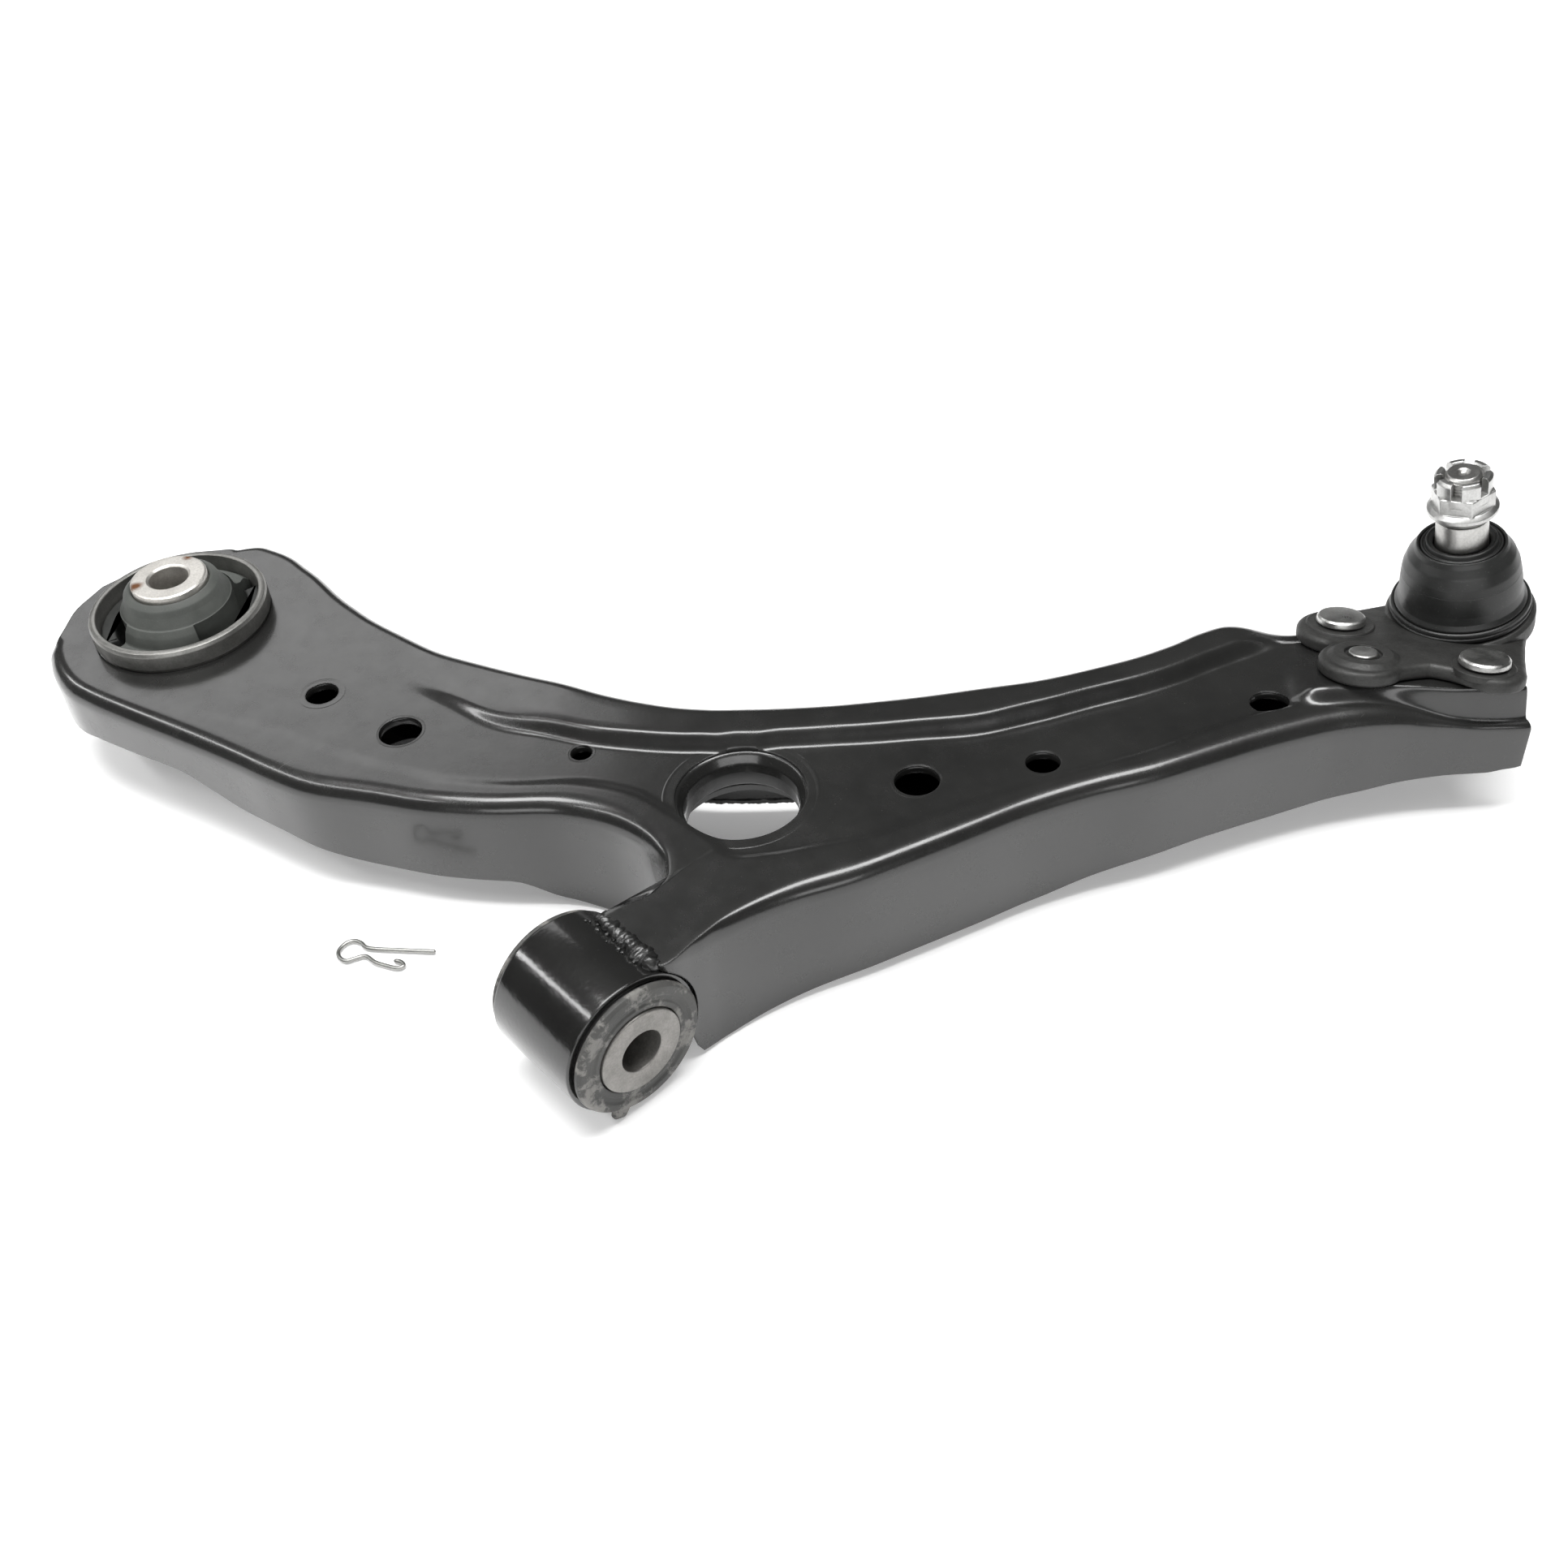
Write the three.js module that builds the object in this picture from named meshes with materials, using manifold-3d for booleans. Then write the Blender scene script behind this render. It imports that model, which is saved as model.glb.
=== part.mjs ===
// Left front lower control arm: two nested steel pressings, a vertical rear bush,
// a front bush in a welded tube and a riveted ball joint. Millimetres, +Z up.
// Working frame ("plate frame"): origin on the rear bush axis, z = 0 on the top plate,
// u to the outboard end, v towards the back edge. At the end the whole group is turned
// so that +X runs along the front bush bore and is set down on z = 0.
import * as THREE from 'three';
import { mergeVertices } from 'three/addons/utils/BufferGeometryUtils.js';
import Module from 'manifold-3d';

const wasm = await Module();
wasm.setup();

// ---------------------------------------------------------------- dimensions
const SWING_AZ = -47.7 * Math.PI / 180; // plan direction of the swing axis, rear bush to front bush
const T_UP = 3.0;            // upper pressing thickness
const T_LOW = 2.6;           // lower pressing thickness
const NEST = 3.6;            // lower skirt set in from the upper skirt
const SHOULDER_R = 6.5;      // fold radius of the upper pressing
const RECESS_SLOPE = [[0, 5], [420, 5], [436, 3], [480, 3]]; // plan width of the step into the recess, by u
const GAP = 0.3;

const CAN_R = 32.2, CAN_WALL = 2.2, CAN_TOP = 8.5, CAN_BOTTOM = -31.5;
const REAR_SLEEVE_R = 14.0, REAR_BORE_R = 7.25, REAR_SLEEVE_TOP = 19.6, FLOOR_Z = -44.9;
const REAR_CENTRE_Z = -11.5;

const FB_Z = -20.6;          // front bush axis height
const TUBE_R = 24.0, TUBE_BORE = 21.4, TUBE_S0 = 231.5, TUBE_S1 = 268.5;
const OUTER_R = 21.1, OUTER_BORE = 19.6;
const FB_SLEEVE_R = 14.6, FB_BORE_R = 7.25, FB_S0 = 227.2, FB_S1 = 273.1;
const FB_FLANGE_R = 22.7;

const BALL_P0 = new THREE.Vector3(461.5, -40.1, 6.3);        // boot base ring centre
const BALL_DIR = new THREE.Vector3(-0.15, 0.03, 0.988).normalize();
const BALL_T = -14.0, BALL_R = 12.0;                          // ball centre and radius
const STUD_TOP_T = 51.0;
const NUT_AF = 18.0;

const FLANGE_O = new THREE.Vector3(421, -44, 1.2);           // bracket top plane
const FLANGE_AU = -0.05, FLANGE_AV = -0.249;
const FLANGE_T = 5.0;

const HOLES = [ // u, v, radius in the upper pressing, radius in the lower pressing
  [62.9, -49.9, 5.9, 0], [94.9, -73.2, 7.5, 16.5], [159.0, -89.7, 3.75, 0],
  [270.0, -112.4, 7.45, 0], [311.0, -106.8, 5.7, 0], [388.3, -83.0, 6.4, 0],
];
const MAIN_HOLE = [213.0, -114.0, 18.6, 22.4];

// ---------------------------------------------------------------- materials
const mat = (color, roughness, metalness) => new THREE.MeshStandardMaterial({ color, roughness, metalness });
const PAINT = () => mat(0x2b2b29, 0.3, 0.2);
const STEEL = () => mat(0x9a978f, 0.4, 0.9);
const ZINC = () => mat(0xc9c9c4, 0.3, 0.95);
const RUBBER = () => mat(0x262826, 0.75, 0.0);
const CAST = () => mat(0x343432, 0.6, 0.5);

// ---------------------------------------------------------------- helpers
const V = (x, y, z) => new THREE.Vector3(x, y, z);
const lerp = (a, b, t) => a + (b - a) * t;
function table(tab, x) {
  if (x <= tab[0][0]) return tab[0][1];
  for (let i = 1; i < tab.length; i++) {
    if (x <= tab[i][0]) {
      const t = (x - tab[i - 1][0]) / (tab[i][0] - tab[i - 1][0]);
      return lerp(tab[i - 1][1], tab[i][1], t);
    }
  }
  return tab[tab.length - 1][1];
}
function clean(geo) {
  let g = geo.index ? geo.toNonIndexed() : geo.clone();
  for (const k of Object.keys(g.attributes)) if (k !== 'position') g.deleteAttribute(k);
  g = mergeVertices(g, 1e-4);
  return g;
}
function toSolid(geo) {
  const g = clean(geo);
  const idx = g.index.array, out = [];
  for (let i = 0; i < idx.length; i += 3) {
    const a = idx[i], b = idx[i + 1], c = idx[i + 2];
    if (a !== b && b !== c && a !== c) out.push(a, b, c);
  }
  return new wasm.Manifold(new wasm.Mesh({
    numProp: 3, vertProperties: new Float32Array(g.attributes.position.array), triVerts: new Uint32Array(out),
  }));
}
function toGeometry(solid) {
  const m = solid.getMesh();
  const g = new THREE.BufferGeometry();
  const pos = new Float32Array(m.numVert * 3);
  for (let i = 0; i < m.numVert; i++) for (let k = 0; k < 3; k++) pos[3 * i + k] = m.vertProperties[i * m.numProp + k];
  g.setAttribute('position', new THREE.BufferAttribute(pos, 3));
  g.setIndex(new THREE.BufferAttribute(new Uint32Array(m.triVerts), 1));
  g.computeVertexNormals();
  return g;
}
function fromLists(pos, idx) {
  const g = new THREE.BufferGeometry();
  g.setAttribute('position', new THREE.BufferAttribute(new Float32Array(pos), 3));
  g.setIndex(idx);
  g.computeVertexNormals();
  return g;
}
// frame whose local z is dir, placed at origin
function frameOn(origin, dir, hint = V(1, 0, 0)) {
  const z = dir.clone().normalize();
  const x = hint.clone().sub(z.clone().multiplyScalar(hint.dot(z))).normalize();
  const y = z.clone().cross(x);
  return new THREE.Matrix4().makeBasis(x, y, z).setPosition(origin);
}
// solid of revolution about local z; profile is [radius, z] from the axis or closed, counter-clockwise in (r, z)
function lathe(profile, seg, matrix, closed = true) {
  const pts = profile.map(([r, z]) => new THREE.Vector2(r, z));
  if (closed) pts.push(pts[0].clone());
  const g = new THREE.LatheGeometry(pts, seg);
  g.rotateX(Math.PI / 2);
  let c = clean(g);
  // a lathe turned to +Z may come out inside-out: make the signed volume positive
  if (signedVolume(c) < 0) { const ix = c.index.array; for (let i = 0; i < ix.length; i += 3) { const t = ix[i]; ix[i] = ix[i + 1]; ix[i + 1] = t; } }
  if (matrix) c.applyMatrix4(matrix);
  return c;
}
function signedVolume(g) {
  const p = g.attributes.position.array, ix = g.index.array;
  let v = 0;
  for (let i = 0; i < ix.length; i += 3) {
    const a = ix[i] * 3, b = ix[i + 1] * 3, c = ix[i + 2] * 3;
    v += p[a] * (p[b + 1] * p[c + 2] - p[b + 2] * p[c + 1]) - p[a + 1] * (p[b] * p[c + 2] - p[b + 2] * p[c])
      + p[a + 2] * (p[b] * p[c + 1] - p[b + 1] * p[c]);
  }
  return v;
}
const ring = (ri, ro, z0, z1, seg, m) => lathe([[ri, z0], [ro, z0], [ro, z1], [ri, z1]], seg, m);
function rod(r, z0, z1, seg, m) {
  const g = new THREE.CylinderGeometry(r, r, z1 - z0, seg);
  g.rotateX(Math.PI / 2); g.translate(0, 0, (z0 + z1) / 2);
  if (m) g.applyMatrix4(m);
  return g;
}
// rod of n sides along a smooth path
function wire(points, r, steps, sides, sx = 1, sy = 1) {
  const curve = new THREE.CatmullRomCurve3(points, false, 'centripetal');
  const shape = new THREE.Shape();
  for (let i = 0; i < sides; i++) {
    const a = 2 * Math.PI * i / sides, x = r * sx * Math.cos(a), y = r * sy * Math.sin(a);
    if (i === 0) shape.moveTo(x, y); else shape.lineTo(x, y);
  }
  shape.closePath();
  const g = new THREE.ExtrudeGeometry(shape, { steps, bevelEnabled: false, extrudePath: curve });
  const c = clean(g);
  if (signedVolume(c) < 0) { const ix = c.index.array; for (let i = 0; i < ix.length; i += 3) { const t = ix[i]; ix[i] = ix[i + 1]; ix[i + 1] = t; } }
  return c;
}

const group = new THREE.Group();
const body = new THREE.Group();      // everything, in the plate frame
group.add(body);
function put(name, geo, material) {
  const m = new THREE.Mesh(geo, material);
  m.name = name;
  body.add(m);
  return m;
}

// ---------------------------------------------------------------- pressings
// floor of the recess and seat under the ball joint bracket
const TILT = [[230, 0], [270, 2], [311, 5], [388, 6]];
const TILT_V = [[230, -113], [270, -112], [311, -107], [388, -83], [400, -78]];
function floorZ(u, v) {
  const zf = -Math.tan(table(TILT, u) * Math.PI / 180) * (v - table(TILT_V, u));
  const seat = FLANGE_O.z - FLANGE_T - 0.6 + FLANGE_AU * (u - FLANGE_O.x) + FLANGE_AV * (v - FLANGE_O.y);
  const k = Math.min(1, Math.max(0, (u - 393) / 11));
  return lerp(zf, seat, k * k * (3 - 2 * k));
}
const CREST_B = [[-60, 0], [100, 0], [150, 4.5], [180, 5], [300, 4.2], [330, 3.4], [360, 3.0], [384, 2.2], [394, -2.6], [403, -5.8], [412, -6.4], [440, -7.6]];
const CREST_F = [[-60, 0], [100, 0.3], [150, 1.0], [200, 1.5], [300, 1.5], [380, 2.5], [405, 2.5], [419, 2.0], [428, 0.4], [437, -2.2], [444, -4.6], [454, -7.0], [472, -8.0]];
//   back edge      middle        front edge     botB    botF   wB  wF   rB   rF  flare
const STATIONS = [
  [-24, 39.2,   -31, 32,     -39, 24.3,     -3.6,  -3.6,  3,  3,  0.4, 0.4, 0],
  [-8, 45.3,    -20, 20,     -45.3, 8,      -3.6,  -3.6,  4,  4,  0.4, 0.4, 0],
  [5, 46,       -8, 8,       -46, -5,       -3.6,  -3.6,  6,  6,  0.4, 0.4, 0],
  [11.5, 49.3,  -2, 2,       -48.8, -12.5,  -21.5, -21.5, 9,  9,  6.5, 6.5, 0],
  [18, 50.2,    4, -4,       -46.4, -20,    -23,   -23,   9,  9,  6.5, 6.5, 0],
  [26, 46.5,    10, -8,      -41.6, -28.5,  -24,   -23,   9,  9,  6.5, 6.5, 0],
  [33.5, 41,    16, -12,     -34.7, -36.7,  -24,   -22,   9,  9,  6.5, 6.5, 0],
  [39.5, 34.5,  22, -16,     -25.5, -43.6,  -24,   -20.6, 9,  9,  6.5, 6.5, 0],
  [46, 27.5,    28, -21,     -12, -52,      -24,   -20.2, 9,  9,  6.5, 6.5, 0],
  [58, 12.5,    37, -28,     8, -63.8,      -25,   -19.6, 9,  9,  6.5, 6.5, 0],
  [66, 4,       44, -36,     22, -72.2,     -26,   -23,   10, 12, 6.5, 6.5, 0],
  [73.6, -3.5,  54, -43,     36, -81,       -27,   -26.6, 12, 15, 6.5, 6.5, 0],
  [87.7, -15,   68, -53,     50.5, -90.5,   -28,   -27.2, 15, 17, 6.5, 6.5, 0],
  [101.3, -25.4, 84, -64,    66, -98.8,     -30,   -29.8, 20, 16, 6.5, 6.5, 0],
  [120.5, -37,  102, -74,    87.7, -105,    -32,   -32.8, 22, 13, 6.5, 6.5, 0],
  [137.4, -46.5, 124, -82,   110, -111.5,   -32,   -33.4, 25, 11, 6.5, 6.5, 0],
  [151, -53.5,  144, -88,    132, -115,     -33,   -33.6, 23, 10.5, 6.5, 6.5, 0],
  [165.7, -61.3, 160, -93,   150, -116.2,   -34,   -41.5, 21, 11, 6.5, 6.5, 0],
  [178, -66.5,  175, -97,    166, -121,     -35,   -44,   19, 12, 6.5, 6.5, 0],
  [187, -69.5,  187, -103,   177, -128,     -36,   -44,   18, 13, 6.5, 6.5, 0],
  [193, -71,    196, -110,   184.5, -136.5, -36,   -42,   17.5, 14, 6.5, 6.5, 0],
  [199, -72,    203, -118,   188.8, -146,   -36,   -39,   17, 17, 6.5, 6.0, 0],
  [203, -72.5,  207, -126,   189.5, -153,   -36,   -33,   17, 22, 6.5, 5.0, 0],
  [207, -72.8,  210, -134,   184.5, -161,   -36,   -20,   16.5, 30, 6.5, 3.0, 0],
  [211, -73,    212, -137,   172.5, -166,   -36,   -3.6,  16, 40.5, 6.5, 0.4, 0],
  [215, -73.2,  214.5, -138, 182, -178.5,   -36,   -3.6,  16, 43.4, 6.5, 0.4, 0],
  [219, -73.4,  217, -138.5, 191, -188.5,   -36,   -3.6,  16, 47.9, 6.5, 0.4, 0],
  [223, -73.5,  220, -138,   200.5, -181,   -36,   -43.5, 15.5, 38.7, 6.5, 5.0, 3],
  [228, -73.6,  224, -135,   208, -174.5,   -36,   -44,   15, 31.5, 6.5, 6.5, 3],
  [235, -73.6,  231, -128,   219, -167.5,   -36,   -43.4, 15, 22, 6.5, 6.5, 2],
  [244, -73.4,  240, -118,   232, -161.3,   -36,   -42.6, 15, 18, 6.5, 6.5, 1],
  [256, -72.6,  255, -113,   249, -155.5,   -36,   -41.6, 15.5, 15, 6.5, 6.5, 0],
  [272, -71.2,  270, -110,   268, -147,     -36,   -41.2, 16, 13, 6.5, 6.5, 0],
  [292, -68.5,  290, -107,   287, -138,     -36,   -41.2, 17.5, 12, 6.5, 6.5, 0],
  [312, -65.5,  309, -102,   306.6, -128.8, -34,   -40.6, 15, 10, 6.5, 6.5, 0],
  [334, -59.5,  330, -96,    326.4, -122,   -33,   -37.6, 14, 9.5, 6.5, 6.5, 0],
  [349, -54.5,  348, -88,    346, -117,     -32,   -35,   14, 10.5, 6.5, 6.5, 0],
  [361, -49,    363, -82,    366, -110,     -32,   -33.8, 14, 11.5, 6.5, 6.5, 0],
  [371.5, -42.8, 377, -77,   383, -104,     -31,   -33.8, 14, 12, 6.5, 6.5, 0],
  [381, -39,    390, -72,    397, -99.8,    -30,   -33,   13, 11.5, 6.5, 6.5, 0],
  [392, -37.5,  401, -68,    408, -97,      -29,   -32,   10, 9, 6.5, 6.5, 0],
  [404, -36.8,  412, -66,    420, -95,      -28,   -31,   8, 8, 5.5, 6.5, 0],
  [417, -34.5,  425, -65,    435, -93,      -27,   -29.2, 6.2, 6.5, 4.5, 5.5, 0],
  [428.5, -35.5, 437, -66,   450, -92.5,    -26,   -28,   6.2, 5, 4.5, 4.2, 0],
  [435.5, -41,  446, -70,    461, -92.4,    -25,   -28,   6, 4.8, 4.0, 4.0, 0],
  [440, -49,    453, -73,    467, -92.3,    -24,   -27,   6, 4.8, 4.0, 4.0, 0],
  [449.5, -59.5, 461, -76,   471, -92.1,    -22,   -26.6, 5, 4.8, 3.6, 4.0, 0],
  [459.5, -65.2, 467, -78,   473, -91.8,    -20,   -26.2, 4.4, 4.4, 3.4, 3.4, 0],
];
// narrow shoulder along the outboard end, so that the step stays in front of the rivets
for (let k = 43; k < STATIONS.length; k++) { STATIONS[k][9] = 3.4; STATIONS[k][11] = 2.7; }
// one transverse section: outer and inner polylines from the front hem over the top to the back hem
function section(s, o) {
  const [bu, bv, mu, mv, fu, fv, botB, botF, wB, wF, rB, rF, flare] = s;
  const side = (eu, ev, crest, bot, w, r, flr, isF) => {
    const dx = mu - eu, dy = mv - ev, L = Math.hypot(dx, dy), d = [dx / L, dy / L];
    const at = (off, z) => [eu + d[0] * off, ev + d[1] * off, z];
    const i0 = o.inset, r1 = Math.max(0.3, r - (o.inset ? 1.5 : 0));
    const ri = Math.max(0.25, r1 - o.t);
    const zc = crest + o.dz, botz = bot + (o.inset ? 1.5 : 0);
    const ws = table(RECESS_SLOPE, eu);
    const W = Math.min(Math.max(w, i0 + r1 + 0.6), L - ws - 1.5);
    const E = at(W + ws, 0);
    const ef = o.floor(E[0], E[1]);
    const outer = [at(i0 - flr, botz), at(i0, zc - r1)];
    const inner = [at(i0 + o.t - flr, botz), at(i0 + o.t, zc - o.t - ri)];
    for (const th of [45, 90]) {
      const c = 1 - Math.cos(th * Math.PI / 180), q = 1 - Math.sin(th * Math.PI / 180);
      outer.push(at(i0 + r1 * c, zc - r1 * q));
      inner.push(at(i0 + o.t + ri * c, zc - o.t - ri * q));
    }
    outer.push(at(Math.max(W, i0 + r1 + 0.3), zc)); inner.push(at(Math.max(W, i0 + o.t + ri + 0.3), zc - o.t));
    outer.push([E[0], E[1], ef]); inner.push([E[0], E[1], ef - o.t]);
    return [outer, inner];
  };
  const zM = o.floor(mu, mv);
  const F = side(fu, fv, o.flat ? o.flat(fu, fv) : table(CREST_F, fu), botF, wF, rF, flare, true);
  const B = side(bu, bv, o.flat ? o.flat(bu, bv) : table(CREST_B, bu), botB, wB, rB, 0, false);
  return [
    [...F[0], [mu, mv, zM], ...B[0].reverse()],
    [...F[1], [mu, mv, zM - o.t], ...B[1].reverse()],
  ];
}
function loftShell(stations, o) {
  const N = stations.length;
  const secs = stations.map((s) => section(s, o));
  const K = secs[0][0].length;
  const pos = [], idx = [];
  for (const [a, b] of secs) { for (const p of a) pos.push(...p); for (const p of b) pos.push(...p); }
  const O = (i, k) => i * 2 * K + k, I = (i, k) => i * 2 * K + K + k;
  const quad = (a, b, c, d) => { idx.push(a, b, c, a, c, d); };
  for (let i = 0; i < N - 1; i++) {
    for (let k = 0; k < K - 1; k++) {
      quad(O(i, k), O(i + 1, k), O(i + 1, k + 1), O(i, k + 1));
      quad(I(i, k), I(i, k + 1), I(i + 1, k + 1), I(i + 1, k));
    }
    quad(O(i, 0), I(i, 0), I(i + 1, 0), O(i + 1, 0));
    quad(O(i, K - 1), O(i + 1, K - 1), I(i + 1, K - 1), I(i, K - 1));
  }
  for (let k = 0; k < K - 1; k++) {
    quad(O(0, k), O(0, k + 1), I(0, k + 1), I(0, k));
    quad(O(N - 1, k), I(N - 1, k), I(N - 1, k + 1), O(N - 1, k + 1));
  }
  return fromLists(pos, idx);
}
const up = (s, p) => s * Math.cos(SWING_AZ) - p * Math.sin(SWING_AZ); // plan u of (along, across)
const vp = (s, p) => s * Math.sin(SWING_AZ) + p * Math.cos(SWING_AZ);
const swingDir = V(Math.cos(SWING_AZ), Math.sin(SWING_AZ), 0);
const fbFrame = frameOn(V(0, 0, FB_Z), swingDir, V(0, 0, 1));   // local z along the front bush
const ballFrame = frameOn(BALL_P0, BALL_DIR, V(1, 0, 0));       // local z along the stud
const flangeN = V(-FLANGE_AU, -FLANGE_AV, 1).normalize();
const flangeFrame = frameOn(FLANGE_O, flangeN, V(1, 0, 0));
const flangeInv = flangeFrame.clone().invert();
const onFlange = (u, v, dz = 0) => {
  const z = FLANGE_O.z + FLANGE_AU * (u - FLANGE_O.x) + FLANGE_AV * (v - FLANGE_O.y) + dz;
  return V(u, v, z);
};
const RIVETS = { back: onFlange(420.3, -44.6), frontLeft: onFlange(420.6, -71.4), frontRight: onFlange(457.4, -80.6) };

let upper = toSolid(loftShell(STATIONS, { inset: 0, t: T_UP, dz: 0, floor: floorZ }));
// turned-down flange round the large lightening hole
upper = upper.add(toSolid(lathe([[MAIN_HOLE[2], -13], [MAIN_HOLE[2] + 2.6, -13], [MAIN_HOLE[3], -3.2], [MAIN_HOLE[3] + 3.2, -1.6],
  [MAIN_HOLE[3] + 1.2, -0.2], [MAIN_HOLE[3] - 1.5, -1.2], [MAIN_HOLE[2] + 0.4, -4.4]], 32,
  new THREE.Matrix4().makeTranslation(MAIN_HOLE[0], MAIN_HOLE[1], 0))));
const LOW = 17.0; // depth of the lower pressing's plateau under the upper one
const lowFlat = (u, v) => Math.min(-LOW + 0.0, table([[-60, -15.5], [20, -15.5], [60, -17], [380, -17], [400, -16], [470, -15]], u));
const lowStations = STATIONS.slice(4, 45).map((s) => s.slice());
const lowFront = { 22: [190.5, -153], 23: [191.8, -159], 24: [193.8, -164], 25: [196.4, -168.5], 26: [199.6, -173], 27: [203.5, -176.5] };
for (const [k, p] of Object.entries(lowFront)) {
  const s = lowStations[k - 4];
  s[4] = p[0]; s[5] = p[1]; s[7] = -36; s[9] = 12; s[11] = 6.5; s[12] = 0;
}
let lower = toSolid(loftShell(lowStations, { inset: NEST, t: T_LOW, dz: 0, flat: lowFlat, floor: lowFlat }));

const at2 = (u, v) => new THREE.Matrix4().makeTranslation(u, v, 0);
for (const [u, v, r, rl] of HOLES) {
  upper = upper.subtract(toSolid(rod(r, -14, 14, 20, at2(u, v))));
  if (rl) lower = lower.subtract(toSolid(rod(rl, -40, 0, 24, at2(u, v))));
}
upper = upper.subtract(toSolid(rod(MAIN_HOLE[2], -14, 14, 32, at2(MAIN_HOLE[0], MAIN_HOLE[1]))));
lower = lower.subtract(toSolid(rod(23.0, -40, -5, 28, at2(MAIN_HOLE[0], MAIN_HOLE[1]))));
const canCut = toSolid(rod(CAN_R + GAP + 0.1, -60, 30, 40));
upper = upper.subtract(canCut);
lower = lower.subtract(canCut);
const tubeCut = toSolid(rod(TUBE_R + GAP + 0.1, TUBE_S0 - 40, TUBE_S1 + 30, 36, fbFrame));
upper = upper.subtract(tubeCut);
lower = lower.subtract(tubeCut);
const housingCut = toSolid(rod(21.5 + 1.2, -60, 12, 28, ballFrame));
lower = lower.subtract(housingCut);
upper = upper.subtract(housingCut);
for (const k of Object.keys(RIVETS)) {
  const m = frameOn(RIVETS[k], flangeN);
  upper = upper.subtract(toSolid(rod(4.8 + GAP, -16, 2, 16, m))).subtract(toSolid(rod(k === 'frontLeft' ? 8.6 : 7.0, -15, -8.75, 16, m)));
  lower = lower.subtract(toSolid(rod(10.5, -40, -12, 16, m)));
}
put('upper_shell', toGeometry(upper), PAINT());
put('lower_shell', toGeometry(lower), PAINT());

// ---------------------------------------------------------------- weld beads
function hemPath(i0, i1, front, inset, dz) {
  const pts = [];
  for (let i = i0; i <= i1; i++) {
    const s = STATIONS[i];
    const e = front ? [s[4], s[5]] : [s[0], s[1]];
    const dx = s[2] - e[0], dy = s[3] - e[1], L = Math.hypot(dx, dy);
    pts.push(V(e[0] + dx / L * inset, e[1] + dy / L * inset, (front ? s[7] : s[6]) + dz));
  }
  return pts;
}
put('seam_weld_inner', wire(hemPath(5, 16, true, 4.9, -0.6), 1.3, 20, 6), PAINT());
put('seam_weld_front', wire(hemPath(31, 43, true, 4.9, -0.6), 1.3, 20, 6), PAINT());
put('seam_weld_back', wire(hemPath(6, 43, false, 4.9, -0.6), 1.3, 36, 6), PAINT());

// ---------------------------------------------------------------- front bush
put('front_bush_tube', ring(TUBE_BORE, TUBE_R, TUBE_S0, TUBE_S1, 36, fbFrame), PAINT());
const beadTop = [];
for (let i = 0; i <= 6; i++) {
  const s = lerp(238, 266.5, i / 6), p = lerp(15.4, 12.2, i / 6);
  const a = Math.asin(p / (TUBE_R + 2.2));
  beadTop.push(V(up(s, p), vp(s, p), FB_Z + (TUBE_R + 2.2) * Math.cos(a)));
}
let weldTop = toSolid(wire(beadTop, 2.6, 8, 8)).subtract(toSolid(rod(TUBE_R + GAP, 200, 300, 40, fbFrame)));
weldTop = weldTop.subtract(upper.translate([0, 0, GAP])).subtract(upper.translate([0, 0, -GAP])).subtract(upper);
const biggest = (m) => { let best = null; for (const d of m.decompose()) if (!best || d.volume() > best.volume()) best = d; return best; };
put('tube_weld_top', toGeometry(biggest(weldTop)), PAINT());
const beadSide = [];
for (let i = 0; i <= 5; i++) {
  const a = lerp(38, 118, i / 5) * Math.PI / 180, R = TUBE_R + 2.3;
  beadSide.push(V(up(263.5, R * Math.sin(a)), vp(263.5, R * Math.sin(a)), FB_Z + R * Math.cos(a)));
}
let weldSide = toSolid(wire(beadSide, 2.4, 8, 8)).subtract(toSolid(rod(TUBE_R + GAP, 200, 300, 40, fbFrame)));
for (const d of [[0, 0, 0], [GAP, 0, 0], [-GAP, 0, 0], [0, GAP, 0], [0, -GAP, 0], [0, 0, GAP], [0, 0, -GAP]]) {
  weldSide = weldSide.subtract(upper.translate(d)).subtract(lower.translate(d));
}
put('tube_weld_side', toGeometry(biggest(weldSide)), PAINT());
put('front_bush_outer_sleeve', ring(OUTER_BORE, OUTER_R, 230.9, 269.4, 36, fbFrame), STEEL());
put('front_bush_rubber', lathe([
  [FB_SLEEVE_R + GAP, 228.2], [FB_FLANGE_R - 1.2, 228.2], [FB_FLANGE_R, 229.2], [FB_FLANGE_R, 230.5], [OUTER_BORE - GAP, 230.5],
  [OUTER_BORE - GAP, 269.8], [FB_FLANGE_R, 269.8], [FB_FLANGE_R, 271.4], [FB_FLANGE_R - 1.2, 272.4], [FB_SLEEVE_R + GAP, 272.4]], 32, fbFrame), RUBBER());
put('front_bush_inner_sleeve', ring(FB_BORE_R, FB_SLEEVE_R, FB_S0, FB_S1, 28, fbFrame), STEEL());

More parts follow.
